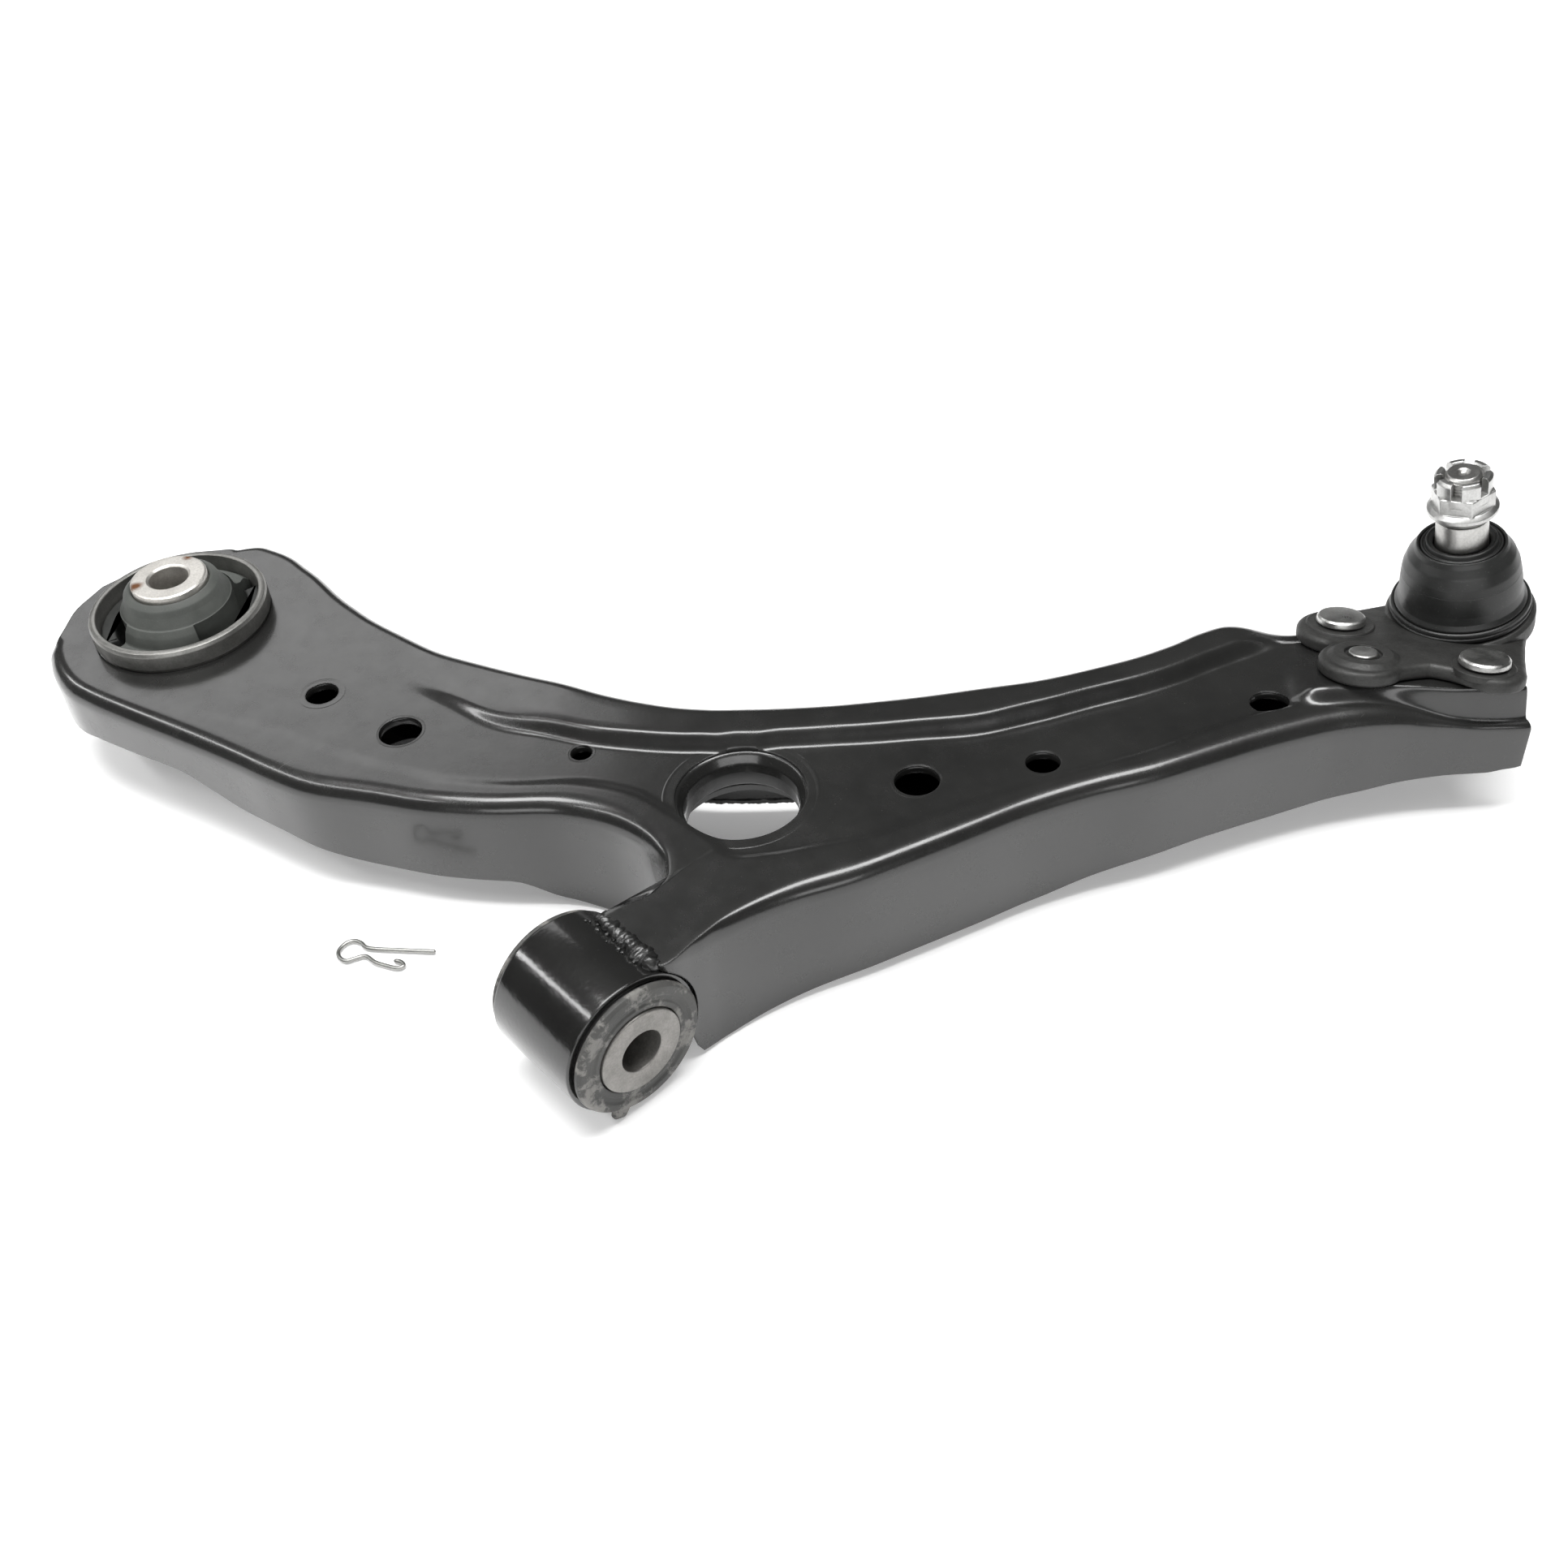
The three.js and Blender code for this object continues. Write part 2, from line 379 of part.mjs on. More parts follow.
// ---------------------------------------------------------------- rear bush
put('rear_bush_can', lathe([[CAN_R - CAN_WALL, CAN_BOTTOM], [CAN_R, CAN_BOTTOM], [CAN_R, CAN_TOP - 0.8], [CAN_R - 0.8, CAN_TOP], [CAN_R - CAN_WALL, CAN_TOP]], 40), STEEL());
put('rear_bush_inner_sleeve', lathe([[REAR_BORE_R, FLOOR_Z], [REAR_SLEEVE_R, FLOOR_Z], [REAR_SLEEVE_R, REAR_SLEEVE_TOP - 0.6],
  [REAR_SLEEVE_R - 0.6, REAR_SLEEVE_TOP], [REAR_BORE_R, REAR_SLEEVE_TOP]], 28), STEEL());
let rubber = toSolid(lathe([
  [REAR_SLEEVE_R + GAP, -38], [19, -38], [24.5, -27], [29.7, -26.5], [29.7, 1.5], [27.5, 3.6], [24.6, 3.0], [21.2, 9], [17.6, 15.0], [15.8, 17.0], [REAR_SLEEVE_R + GAP, 17.0]], 32));
const VOID_AZ = [-6, 174];  // the two kidney voids, degrees in plan
function kidney(az, r0, r1, half, z0, z1, n = 9) {
  const sh = new THREE.Shape();
  for (let i = 0; i <= n; i++) { const a = (az - half + 2 * half * i / n) * Math.PI / 180; const x = r1 * Math.cos(a), y = r1 * Math.sin(a); if (i === 0) sh.moveTo(x, y); else sh.lineTo(x, y); }
  for (let i = n; i >= 0; i--) { const a = (az - half + 2 * half * i / n) * Math.PI / 180; sh.lineTo(r0 * Math.cos(a), r0 * Math.sin(a)); }
  sh.closePath();
  const g = new THREE.ExtrudeGeometry(sh, { depth: z1 - z0, bevelEnabled: false });
  g.translate(0, 0, z0);
  return g;
}
for (const az of VOID_AZ) rubber = rubber.subtract(toSolid(kidney(az, 20.6, 31, 52, -50, 20)));
put('rear_bush_rubber', toGeometry(rubber), RUBBER());
put('rear_bump_stop_outer', clean(kidney(VOID_AZ[0], 24.6, CAN_R - CAN_WALL - GAP, 40, -24, 2.5)), RUBBER());
put('rear_bump_stop_inner', clean(kidney(VOID_AZ[1], 24.6, CAN_R - CAN_WALL - GAP, 40, -24, 2.5)), RUBBER());

// ---------------------------------------------------------------- ball joint
const outline = [];
const arc = (cu, cv, r, a0, a1, n) => { for (let i = 0; i <= n; i++) { const a = lerp(a0, a1, i / n) * Math.PI / 180; outline.push([cu + r * Math.cos(a), cv + r * Math.sin(a)]); } };
arc(420.3, -46.0, 14.8, 95, 235, 7);
outline.push([412.4, -59.2]);
arc(420.3, -71.6, 14.0, 128, 318, 10);
outline.push([436.0, -79.6], [441.2, -78.6], [446.4, -81.6], [452.2, -87.2]);
arc(460.2, -82.0, 10.4, 240, 350, 6);
outline.push([473.6, -74], [478.0, -62], [483.5, -49]);
arc(462.4, -40.3, 22.6, -20, 110, 9);
outline.push([440, -27.5], [430, -31.2]);
const shape = new THREE.Shape();
outline.forEach(([u, v], i) => {
  const p = onFlange(u, v).applyMatrix4(flangeInv);
  if (i === 0) shape.moveTo(p.x, p.y); else shape.lineTo(p.x, p.y);
});
shape.closePath();
const plate = new THREE.ExtrudeGeometry(shape, { depth: FLANGE_T, bevelEnabled: false });
plate.translate(0, 0, -FLANGE_T);
plate.applyMatrix4(flangeFrame);
let bracket = toSolid(plate);
bracket = bracket.add(toSolid(rod(13.4, -2, 1.3, 24, frameOn(RIVETS.frontLeft, flangeN))));
bracket = bracket.add(toSolid(rod(11.5, -2, 0.6, 20, frameOn(RIVETS.back, flangeN))));
bracket = bracket.add(toSolid(lathe([[0, -33], [19.5, -33], [21.5, -31], [21.5, -13], [24.4, -9.5], [24.4, -4.2], [23.2, -3.0], [0, -3.0]], 32, ballFrame, false)));
bracket = bracket.subtract(toSolid(rod(24.7, -3.0, 14, 32, ballFrame)));
bracket = bracket.subtract(toSolid(rod(16.0, -40, -6.5, 24, ballFrame)));
bracket = bracket.subtract(toSolid(rod(14.6, -10, 4, 24, ballFrame)));
bracket = bracket.subtract(toSolid(rod(18.0, -40, -29.6, 24, ballFrame)));
for (const k of Object.keys(RIVETS)) bracket = bracket.subtract(toSolid(rod(4.8 + GAP, -20, 4, 16, frameOn(RIVETS[k], flangeN))));
put('ball_joint_bracket', toGeometry(bracket), CAST());
// plastic seat: a bored cup with a spherical pocket
let seat = toSolid(rod(15.6, -29.2, -7.0, 24, ballFrame));
const ballAt = BALL_P0.clone().addScaledVector(BALL_DIR, BALL_T);
const sphere = new THREE.SphereGeometry(BALL_R + GAP, 20, 12);
sphere.translate(ballAt.x, ballAt.y, ballAt.z);
seat = seat.subtract(toSolid(sphere)).subtract(toSolid(rod(11.2, -14, 0, 20, ballFrame))).subtract(toSolid(rod(3.0, -40, -14, 12, ballFrame)));
put('ball_seat', toGeometry(seat), mat(0xd8d4c4, 0.6, 0));
put('housing_cap', lathe([[0, -33.4], [16.6, -33.4], [17.6, -32.6], [17.6, -29.9], [0, -29.9]], 24, ballFrame, false), STEEL());
// stud: ball, neck, seat cone, thread
const stud = [[0, BALL_T - BALL_R]];
for (let i = 1; i <= 8; i++) {
  const a = lerp(-90, 58.8, i / 8) * Math.PI / 180;
  stud.push([BALL_R * Math.cos(a), BALL_T + BALL_R * Math.sin(a)]);
}
stud.push([6.2, 0], [6.2, 2], [8.9, 9], [8.9, 14], [8.35, 33.6], [6.0, 34.4], [6.0, STUD_TOP_T - 0.8], [5.2, STUD_TOP_T], [0, STUD_TOP_T]);
let studSolid = toSolid(lathe(stud, 24, ballFrame, false));
const cross = rod(1.9, -12, 12, 12, new THREE.Matrix4().multiplyMatrices(ballFrame, new THREE.Matrix4().makeTranslation(0, 0, 46.6).multiply(new THREE.Matrix4().makeRotationY(Math.PI / 2))));
studSolid = studSolid.subtract(toSolid(cross));
put('ball_stud', toGeometry(studSolid), STEEL());
// castle nut: washer face, hexagon, slotted crown
const hexShape = new THREE.Shape();
for (let i = 0; i < 6; i++) { const a = (i * 60 + 30) * Math.PI / 180, R = NUT_AF / Math.sqrt(3); const x = R * Math.cos(a), y = R * Math.sin(a); if (i === 0) hexShape.moveTo(x, y); else hexShape.lineTo(x, y); }
hexShape.closePath();
const hex = new THREE.ExtrudeGeometry(hexShape, { depth: 7.0, bevelEnabled: false });
hex.translate(0, 0, 37.6); hex.applyMatrix4(ballFrame);
let nut = toSolid(hex).add(toSolid(lathe([[0, 34.9], [9.4, 34.9], [11.4, 36.9], [11.4, 38.4], [10.0, 39.4], [0, 39.4]], 24, ballFrame, false)));
nut = nut.add(toSolid(lathe([[0, 42], [9.2, 42], [9.2, 49.9], [8.6, 50.6], [0, 50.6]], 24, ballFrame, false)));
for (let i = 0; i < 3; i++) {
  const slot = new THREE.BoxGeometry(30, 3.3, 7);
  slot.rotateZ(i * Math.PI / 3); slot.translate(0, 0, 44.8 + 3.5); slot.applyMatrix4(ballFrame);
  nut = nut.subtract(toSolid(slot));
}
nut = nut.subtract(toSolid(rod(6.0 + GAP, 30, 60, 24, ballFrame))).subtract(toSolid(lathe([[0, 30], [8.8, 30], [8.8, 34.6], [6.0, 35.6], [0, 35.6]], 24, ballFrame, false)));
put('castle_nut', toGeometry(nut), ZINC());
// dust boot, thin wall, with a lip on the stud
put('dust_boot', lathe([
  [20.6, 0.4], [21.6, 1.6], [20.6, 4.5], [20.2, 8], [19.4, 14], [18.0, 19], [16.2, 22], [14.2, 24.0], [13.6, 23.0],
  [13.6, 21.0], [10.4, 19.6], [10.4, 17.2], [13.6, 17.4], [15.6, 16], [17.0, 12], [17.8, 8], [18.2, 4.5], [17.6, 0.4]], 28, ballFrame), RUBBER());
put('boot_lip_ring', lathe([[9.3, 16.6], [10.0, 16.6], [10.0, 20.2], [13.2, 21.4], [13.2, 23.4], [12.6, 23.8], [11.6, 22.6], [9.3, 22.0]], 28, ballFrame), RUBBER());
put('boot_base_ring', lathe([[20.9, -2.6], [22.9, -2.0], [22.9, 0.2], [22.2, 1.0], [21.9, 1.2], [20.9, 0.1]], 28, ballFrame), RUBBER());

// ---------------------------------------------------------------- rivets
const plateUnder = FLANGE_T + 0.6 + T_UP;
function rivet(at, headUp) {
  const L = 0.45 + plateUnder;
  const prof = headUp
    ? [[0, -L - 3.2], [5.8, -L - 3.2], [6.6, -L - 2.4], [6.6, -L], [4.8, -L], [4.8, 0.95], [8.2, 0.95], [8.2, 2.9], [7.7, 3.4], [0, 3.4]]
    : [[0, -L - 3.0], [7.6, -L - 3.0], [8.2, -L - 2.4], [8.2, -L], [4.8, -L], [4.8, 1.5], [4.4, 1.8], [0, 1.8]];
  return lathe(prof, 22, frameOn(at, flangeN), false);
}
put('rivet_back', rivet(RIVETS.back, true), ZINC());
put('rivet_front_left', rivet(RIVETS.frontLeft, false), ZINC());
put('rivet_front_right', rivet(RIVETS.frontRight, true), ZINC());

// ---------------------------------------------------------------- lock pin, lying beside the arm
const PIN_R = 0.75, pz = FLOOR_Z + PIN_R;
const pinPath = [[107.6, -135.9], [95, -134.4], [84.5, -132.9], [81.2, -130.2], [78.4, -129.1], [75.8, -130.4], [74.2, -133.4], [75.0, -136.4], [77.6, -138.2],
  [80.6, -137.2], [84.0, -136.5], [87.6, -139.4], [91.6, -141.2], [95.6, -142.5], [97.6, -141.6], [96.4, -139.8], [93.8, -139.0]].map(([u, v]) => V(u, v, pz));
put('lock_pin', wire(pinPath, PIN_R, 48, 6), ZINC());

// ---------------------------------------------------------------- row frame
body.rotation.z = -SWING_AZ;
body.updateMatrixWorld(true);
const box = new THREE.Box3();
body.traverse((m) => { if (m.isMesh) { const b = new THREE.Box3(); const p = m.geometry.attributes.position; const q = V(0, 0, 0); for (let i = 0; i < p.count; i++) { q.fromBufferAttribute(p, i).applyMatrix4(m.matrixWorld); b.expandByPoint(q); } box.union(b); } });
body.position.set(-(box.min.x + box.max.x) / 2, -(box.min.y + box.max.y) / 2, -box.min.z);

export default group;
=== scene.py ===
import bpy
import bmesh
import math
import random
from mathutils import Matrix, Vector, noise


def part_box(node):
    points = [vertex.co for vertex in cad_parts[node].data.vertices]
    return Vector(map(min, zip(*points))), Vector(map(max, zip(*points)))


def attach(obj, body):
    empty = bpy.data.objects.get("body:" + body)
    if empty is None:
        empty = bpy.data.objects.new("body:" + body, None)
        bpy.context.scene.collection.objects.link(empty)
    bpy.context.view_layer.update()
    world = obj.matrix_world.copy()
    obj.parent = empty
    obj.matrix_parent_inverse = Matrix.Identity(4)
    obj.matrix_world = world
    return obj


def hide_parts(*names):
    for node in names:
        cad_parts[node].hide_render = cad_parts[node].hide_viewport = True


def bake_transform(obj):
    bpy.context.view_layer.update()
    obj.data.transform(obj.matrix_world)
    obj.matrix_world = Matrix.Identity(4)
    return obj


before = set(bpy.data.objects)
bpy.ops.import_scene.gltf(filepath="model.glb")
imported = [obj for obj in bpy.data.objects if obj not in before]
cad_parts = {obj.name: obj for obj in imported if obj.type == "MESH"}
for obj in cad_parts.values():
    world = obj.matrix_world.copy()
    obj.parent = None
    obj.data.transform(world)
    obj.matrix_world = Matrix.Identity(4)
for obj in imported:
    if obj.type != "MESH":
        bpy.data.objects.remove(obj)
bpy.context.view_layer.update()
random.seed(7)

# ------------------------------------------------------------------ plate frame (mm) to row frame (m)
can_lo, can_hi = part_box("rear_bush_can")
slv_lo, slv_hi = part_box("rear_bush_inner_sleeve")
AX = (can_lo[0] + can_hi[0]) / 2
AY = (can_lo[1] + can_hi[1]) / 2
AZ0 = slv_lo[2] + 0.0449
ROT = math.radians(47.7)
TO_ROW = Matrix.Translation((AX, AY, AZ0)) @ Matrix.Rotation(ROT, 4, 'Z') @ Matrix.Scale(0.001, 4)


def row(u, v, z):
    return TO_ROW @ Vector((u, v, z))


CAN_R, CAN_WALL, CAN_TOP, CAN_BOTTOM = 32.2, 2.2, 8.5, -31.5
FB_Z = -20.6
T_UP, T_LOW, NEST, GAP = 3.0, 2.6, 3.6, 0.3
BALL_P0 = Vector((461.5, -40.1, 6.3))
BALL_DIR = Vector((-0.15, 0.03, 0.988)).normalized()
BALL_T, BALL_R, STUD_TOP_T, NUT_AF = -14.0, 12.0, 51.0, 18.0
FL_O = Vector((421.0, -44.0, 1.2))
FL_AU, FL_AV, FL_T = -0.05, -0.249, 5.0
HOLES = [(62.9, -49.9, 5.9, 0), (94.9, -73.2, 7.5, 16.5), (159.0, -89.7, 3.75, 0),
         (270.0, -112.4, 7.45, 0), (311.0, -106.8, 5.7, 0), (388.3, -83.0, 6.4, 0)]
MAIN = (213.0, -114.0, 18.6, 22.4)
RECESS = [(0, 5), (420, 5), (436, 3), (480, 3)]
TILT = [(230, 0), (270, 2), (311, 5), (388, 6)]
TILT_V = [(230, -113), (270, -112), (311, -107), (388, -83), (400, -78)]
CREST_B = [(-60, 0), (100, 0), (150, 4.5), (180, 5), (300, 4.2), (330, 3.4), (360, 3.0), (384, 2.2), (394, -2.6), (403, -5.8), (412, -6.4), (440, -7.6)]
CREST_F = [(-60, 0), (100, 0.3), (150, 1.0), (200, 1.5), (300, 1.5), (380, 2.5), (405, 2.5), (419, 2.0), (428, 0.4), (437, -2.2), (444, -4.6), (454, -7.0), (472, -8.0)]
#  back edge, middle, front edge, foot of back and front wall, width and fold radius of each shoulder, flare
STATIONS = [
    (-24, 39.2, -31, 32, -39, 24.3, -3.6, -3.6, 3, 3, 0.4, 0.4, 0),
    (-8, 45.3, -20, 20, -45.3, 8, -3.6, -3.6, 4, 4, 0.4, 0.4, 0),
    (5, 46, -8, 8, -46, -5, -3.6, -3.6, 6, 6, 0.4, 0.4, 0),
    (11.5, 49.3, -2, 2, -48.8, -12.5, -21.5, -21.5, 9, 9, 6.5, 6.5, 0),
    (18, 50.2, 4, -4, -46.4, -20, -23, -23, 9, 9, 6.5, 6.5, 0),
    (26, 46.5, 10, -8, -41.6, -28.5, -24, -23, 9, 9, 6.5, 6.5, 0),
    (33.5, 41, 16, -12, -34.7, -36.7, -24, -22, 9, 9, 6.5, 6.5, 0),
    (39.5, 34.5, 22, -16, -25.5, -43.6, -24, -20.6, 9, 9, 6.5, 6.5, 0),
    (46, 27.5, 28, -21, -12, -52, -24, -20.2, 9, 9, 6.5, 6.5, 0),
    (58, 12.5, 37, -28, 8, -63.8, -25, -19.6, 9, 9, 6.5, 6.5, 0),
    (66, 4, 44, -36, 22, -72.2, -26, -23, 10, 12, 6.5, 6.5, 0),
    (73.6, -3.5, 54, -43, 36, -81, -27, -26.6, 12, 15, 6.5, 6.5, 0),
    (87.7, -15, 68, -53, 50.5, -90.5, -28, -27.2, 15, 17, 6.5, 6.5, 0),
    (101.3, -25.4, 84, -64, 66, -98.8, -30, -29.8, 20, 16, 6.5, 6.5, 0),
    (120.5, -37, 102, -74, 87.7, -105, -32, -32.8, 22, 13, 6.5, 6.5, 0),
    (137.4, -46.5, 124, -82, 110, -111.5, -32, -33.4, 25, 11, 6.5, 6.5, 0),
    (151, -53.5, 144, -88, 132, -115, -33, -33.6, 23, 10.5, 6.5, 6.5, 0),
    (165.7, -61.3, 160, -93, 150, -116.2, -34, -41.5, 21, 11, 6.5, 6.5, 0),
    (178, -66.5, 175, -97, 166, -121, -35, -44, 19, 12, 6.5, 6.5, 0),
    (187, -69.5, 187, -103, 177, -128, -36, -44, 18, 13, 6.5, 6.5, 0),
    (193, -71, 196, -110, 184.5, -136.5, -36, -42, 17.5, 14, 6.5, 6.5, 0),
    (199, -72, 203, -118, 188.8, -146, -36, -39, 17, 17, 6.5, 6.0, 0),
    (203, -72.5, 207, -126, 189.5, -153, -36, -33, 17, 22, 6.5, 5.0, 0),
    (207, -72.8, 210, -134, 184.5, -161, -36, -20, 16.5, 30, 6.5, 3.0, 0),
    (211, -73, 212, -137, 172.5, -166, -36, -3.6, 16, 40.5, 6.5, 0.4, 0),
    (215, -73.2, 214.5, -138, 182, -178.5, -36, -3.6, 16, 43.4, 6.5, 0.4, 0),
    (219, -73.4, 217, -138.5, 191, -188.5, -36, -3.6, 16, 47.9, 6.5, 0.4, 0),
    (223, -73.5, 220, -138, 200.5, -181, -36, -43.5, 15.5, 38.7, 6.5, 5.0, 3),
    (228, -73.6, 224, -135, 208, -174.5, -36, -44, 15, 31.5, 6.5, 6.5, 3),
    (235, -73.6, 231, -128, 219, -167.5, -36, -43.4, 15, 22, 6.5, 6.5, 2),
    (244, -73.4, 240, -118, 232, -161.3, -36, -42.6, 15, 18, 6.5, 6.5, 1),
    (256, -72.6, 255, -113, 249, -155.5, -36, -41.6, 15.5, 15, 6.5, 6.5, 0),
    (272, -71.2, 270, -110, 268, -147, -36, -41.2, 16, 13, 6.5, 6.5, 0),
    (292, -68.5, 290, -107, 287, -138, -36, -41.2, 17.5, 12, 6.5, 6.5, 0),
    (312, -65.5, 309, -102, 306.6, -128.8, -34, -40.6, 15, 10, 6.5, 6.5, 0),
    (334, -59.5, 330, -96, 326.4, -122, -33, -37.6, 14, 9.5, 6.5, 6.5, 0),
    (349, -54.5, 348, -88, 346, -117, -32, -35, 14, 10.5, 6.5, 6.5, 0),
    (361, -49, 363, -82, 366, -110, -32, -33.8, 14, 11.5, 6.5, 6.5, 0),
    (371.5, -42.8, 377, -77, 383, -104, -31, -33.8, 14, 12, 6.5, 6.5, 0),
    (381, -39, 390, -72, 397, -99.8, -30, -33, 13, 11.5, 6.5, 6.5, 0),
    (392, -37.5, 401, -68, 408, -97, -29, -32, 10, 9, 6.5, 6.5, 0),
    (404, -36.8, 412, -66, 420, -95, -28, -31, 8, 8, 5.5, 6.5, 0),
    (417, -34.5, 425, -65, 435, -93, -27, -29.2, 6.2, 6.5, 4.5, 5.5, 0),
    (428.5, -35.5, 437, -66, 450, -92.5, -26, -28, 6.2, 5, 4.5, 4.2, 0),
    (435.5, -41, 446, -70, 461, -92.4, -25, -28, 6, 4.8, 4.0, 4.0, 0),
    (440, -49, 453, -73, 467, -92.3, -24, -27, 6, 4.8, 4.0, 4.0, 0),
    (449.5, -59.5, 461, -76, 471, -92.1, -22, -26.6, 5, 4.8, 3.6, 4.0, 0),
    (459.5, -65.2, 467, -78, 473, -91.8, -20, -26.2, 4.4, 4.4, 3.4, 3.4, 0),
]


# ------------------------------------------------------------------ helpers
def table(tab, x):
    if x <= tab[0][0]:
        return tab[0][1]
    for a, b in zip(tab, tab[1:]):
        if x <= b[0]:
            t = (x - a[0]) / (b[0] - a[0])
            return a[1] + (b[1] - a[1]) * t
    return tab[-1][1]


def smooth(tab, x):
    return (table(tab, x - 5) + table(tab, x - 2.5) + table(tab, x) + table(tab, x + 2.5) + table(tab, x + 5)) / 5


def lerp(a, b, t):
    return a + (b - a) * t


def pchip(ys, n):
    """n points per interval through equally spaced values, without overshoot."""
    k = len(ys)
    d = [ys[i + 1] - ys[i] for i in range(k - 1)]
    m = [d[0]] + [0 if d[i - 1] * d[i] <= 0 else 2 * d[i - 1] * d[i] / (d[i - 1] + d[i]) for i in range(1, k - 1)] + [d[-1]]
    out = []
    for i in range(k - 1):
        for j in range(n):
            t = j / n
            h00, h10 = 2 * t ** 3 - 3 * t * t + 1, t ** 3 - 2 * t * t + t
            h01, h11 = -2 * t ** 3 + 3 * t * t, t ** 3 - t * t
            out.append(h00 * ys[i] + h10 * m[i] + h01 * ys[i + 1] + h11 * m[i + 1])
    out.append(ys[-1])
    return out


def frame_on(origin, direction, hint=Vector((1, 0, 0))):
    z = Vector(direction).normalized()
    x = (Vector(hint) - z * Vector(hint).dot(z)).normalized()
    y = z.cross(x)
    m = Matrix((x, y, z)).transposed().to_4x4()
    m.translation = Vector(origin)
    return m


SWING = Vector((math.cos(-ROT), math.sin(-ROT), 0))
FB = frame_on((0, 0, FB_Z), SWING, (0, 0, 1))
BALL = frame_on(BALL_P0, BALL_DIR)
FL_N = Vector((-FL_AU, -FL_AV, 1)).normalized()
FLANGE = frame_on(FL_O, FL_N)


def on_flange(u, v, dz=0.0):
    return Vector((u, v, FL_O.z + FL_AU * (u - FL_O.x) + FL_AV * (v - FL_O.y) + dz))


RIVETS = {"back": on_flange(420.3, -44.6), "frontLeft": on_flange(420.6, -71.4), "frontRight": on_flange(457.4, -80.6)}
IDENT = Matrix.Identity(4)


def make(name, verts, faces, material, body=None, mat=IDENT, sharp=38, replaces=()):
    me = bpy.data.meshes.new(name)
    me.from_pydata([TO_ROW @ (mat @ Vector(p)) for p in verts], [], faces)
    bm = bmesh.new()
    bm.from_mesh(me)
    bmesh.ops.remove_doubles(bm, verts=bm.verts, dist=1e-6)
    bmesh.ops.recalc_face_normals(bm, faces=bm.faces)
    bm.to_mesh(me)
    bm.free()
    ob = bpy.data.objects.new(name, me)
    bpy.context.scene.collection.objects.link(ob)
    finish_mesh(ob, material, sharp)
    if body:
        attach(ob, body)
        for n in replaces:
            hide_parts(n)
    return ob


def finish_mesh(ob, material, sharp=38):
    me = ob.data
    me.polygons.foreach_set("use_smooth", [True] * len(me.polygons))
    me.set_sharp_from_angle(angle=math.radians(sharp))
    me.materials.clear()
    me.materials.append(material)


def join(name, obs, material, body, replaces=(), sharp=38):
    bm = bmesh.new()
    for o in obs:
        bm.from_mesh(o.data)
    me = bpy.data.meshes.new(name)
    bm.to_mesh(me)
    bm.free()
    for o in obs:
        bpy.data.objects.remove(o, do_unlink=True)
    ob = bpy.data.objects.new(name, me)
    bpy.context.scene.collection.objects.link(ob)
    finish_mesh(ob, material, sharp)
    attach(ob, body)
    for n in replaces:
        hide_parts(n)
    return ob


def cut(ob, cutters, material, sharp=38, solver='EXACT'):
    bm = bmesh.new()
    for c in cutters:
        bm.from_mesh(c.data)
    me = bpy.data.meshes.new("cutter")
    bm.to_mesh(me)
    bm.free()
    for c in cutters:
        bpy.data.objects.remove(c, do_unlink=True)
    cu = bpy.data.objects.new("cutter", me)
    bpy.context.scene.collection.objects.link(cu)
    m = ob.modifiers.new("b", 'BOOLEAN')
    m.operation = 'DIFFERENCE'
    m.solver = solver
    m.object = cu
    dg = bpy.context.evaluated_depsgraph_get()
    new = bpy.data.meshes.new_from_object(ob.evaluated_get(dg))
    ob.modifiers.clear()
    ob.data = new
    bpy.data.objects.remove(cu, do_unlink=True)
    finish_mesh(ob, material, sharp)
    return ob


def roundpoly(pts, r, n=5, closed=True):
    """rounds every corner of a 2D polyline with radius r, or less where an edge is short."""
    out = []
    k = len(pts)
    for i, p in enumerate(pts):
        if not closed and i in (0, k - 1):
            out.append(tuple(p[:2]))
            continue
        rr = p[2] if len(p) > 2 else r
        a, b, c = Vector(pts[i - 1][:2]), Vector(p[:2]), Vector(pts[(i + 1) % k][:2])
        d1, d2 = a - b, c - b
        l1, l2 = d1.length, d2.length
        if l1 < 1e-9 or l2 < 1e-9 or rr <= 0:
            out.append(tuple(b))
            continue
        d1, d2 = d1 / l1, d2 / l2
        ang = math.acos(max(-1, min(1, d1.dot(d2))))
        if ang > math.radians(176):
            out.append(tuple(b))
            continue
        t = min(rr / math.tan(ang / 2), l1 * 0.45, l2 * 0.45)
        s, e = b + d1 * t, b + d2 * t
        for j in range(n + 1):
            q = j / n
            m = s.lerp(b, q).lerp(b.lerp(e, q), q)
            out.append(tuple(m))
    return out


def lathe(name, prof, material, body=None, mat=IDENT, seg=96, r=0.4, closed=True, replaces=(), wob=0.0, sharp=38, n=4):
    pts = roundpoly(prof, r, n, closed)
    verts, faces = [], []
    for i in range(seg):
        a = 2 * math.pi * i / seg
        for x, z in pts:
            w = 1 + wob * noise.noise(Vector((math.cos(a) * 2.1, math.sin(a) * 2.1, z * 0.2)))
            verts.append((x * w * math.cos(a), x * w * math.sin(a), z))
    k = len(pts)
    for i in range(seg):
        j = (i + 1) % seg
        for q in range(k if closed else k - 1):
            p = (q + 1) % k
            faces.append((i * k + q, j * k + q, j * k + p, i * k + p))
    return make(name, verts, faces, material, body, mat, sharp, replaces)


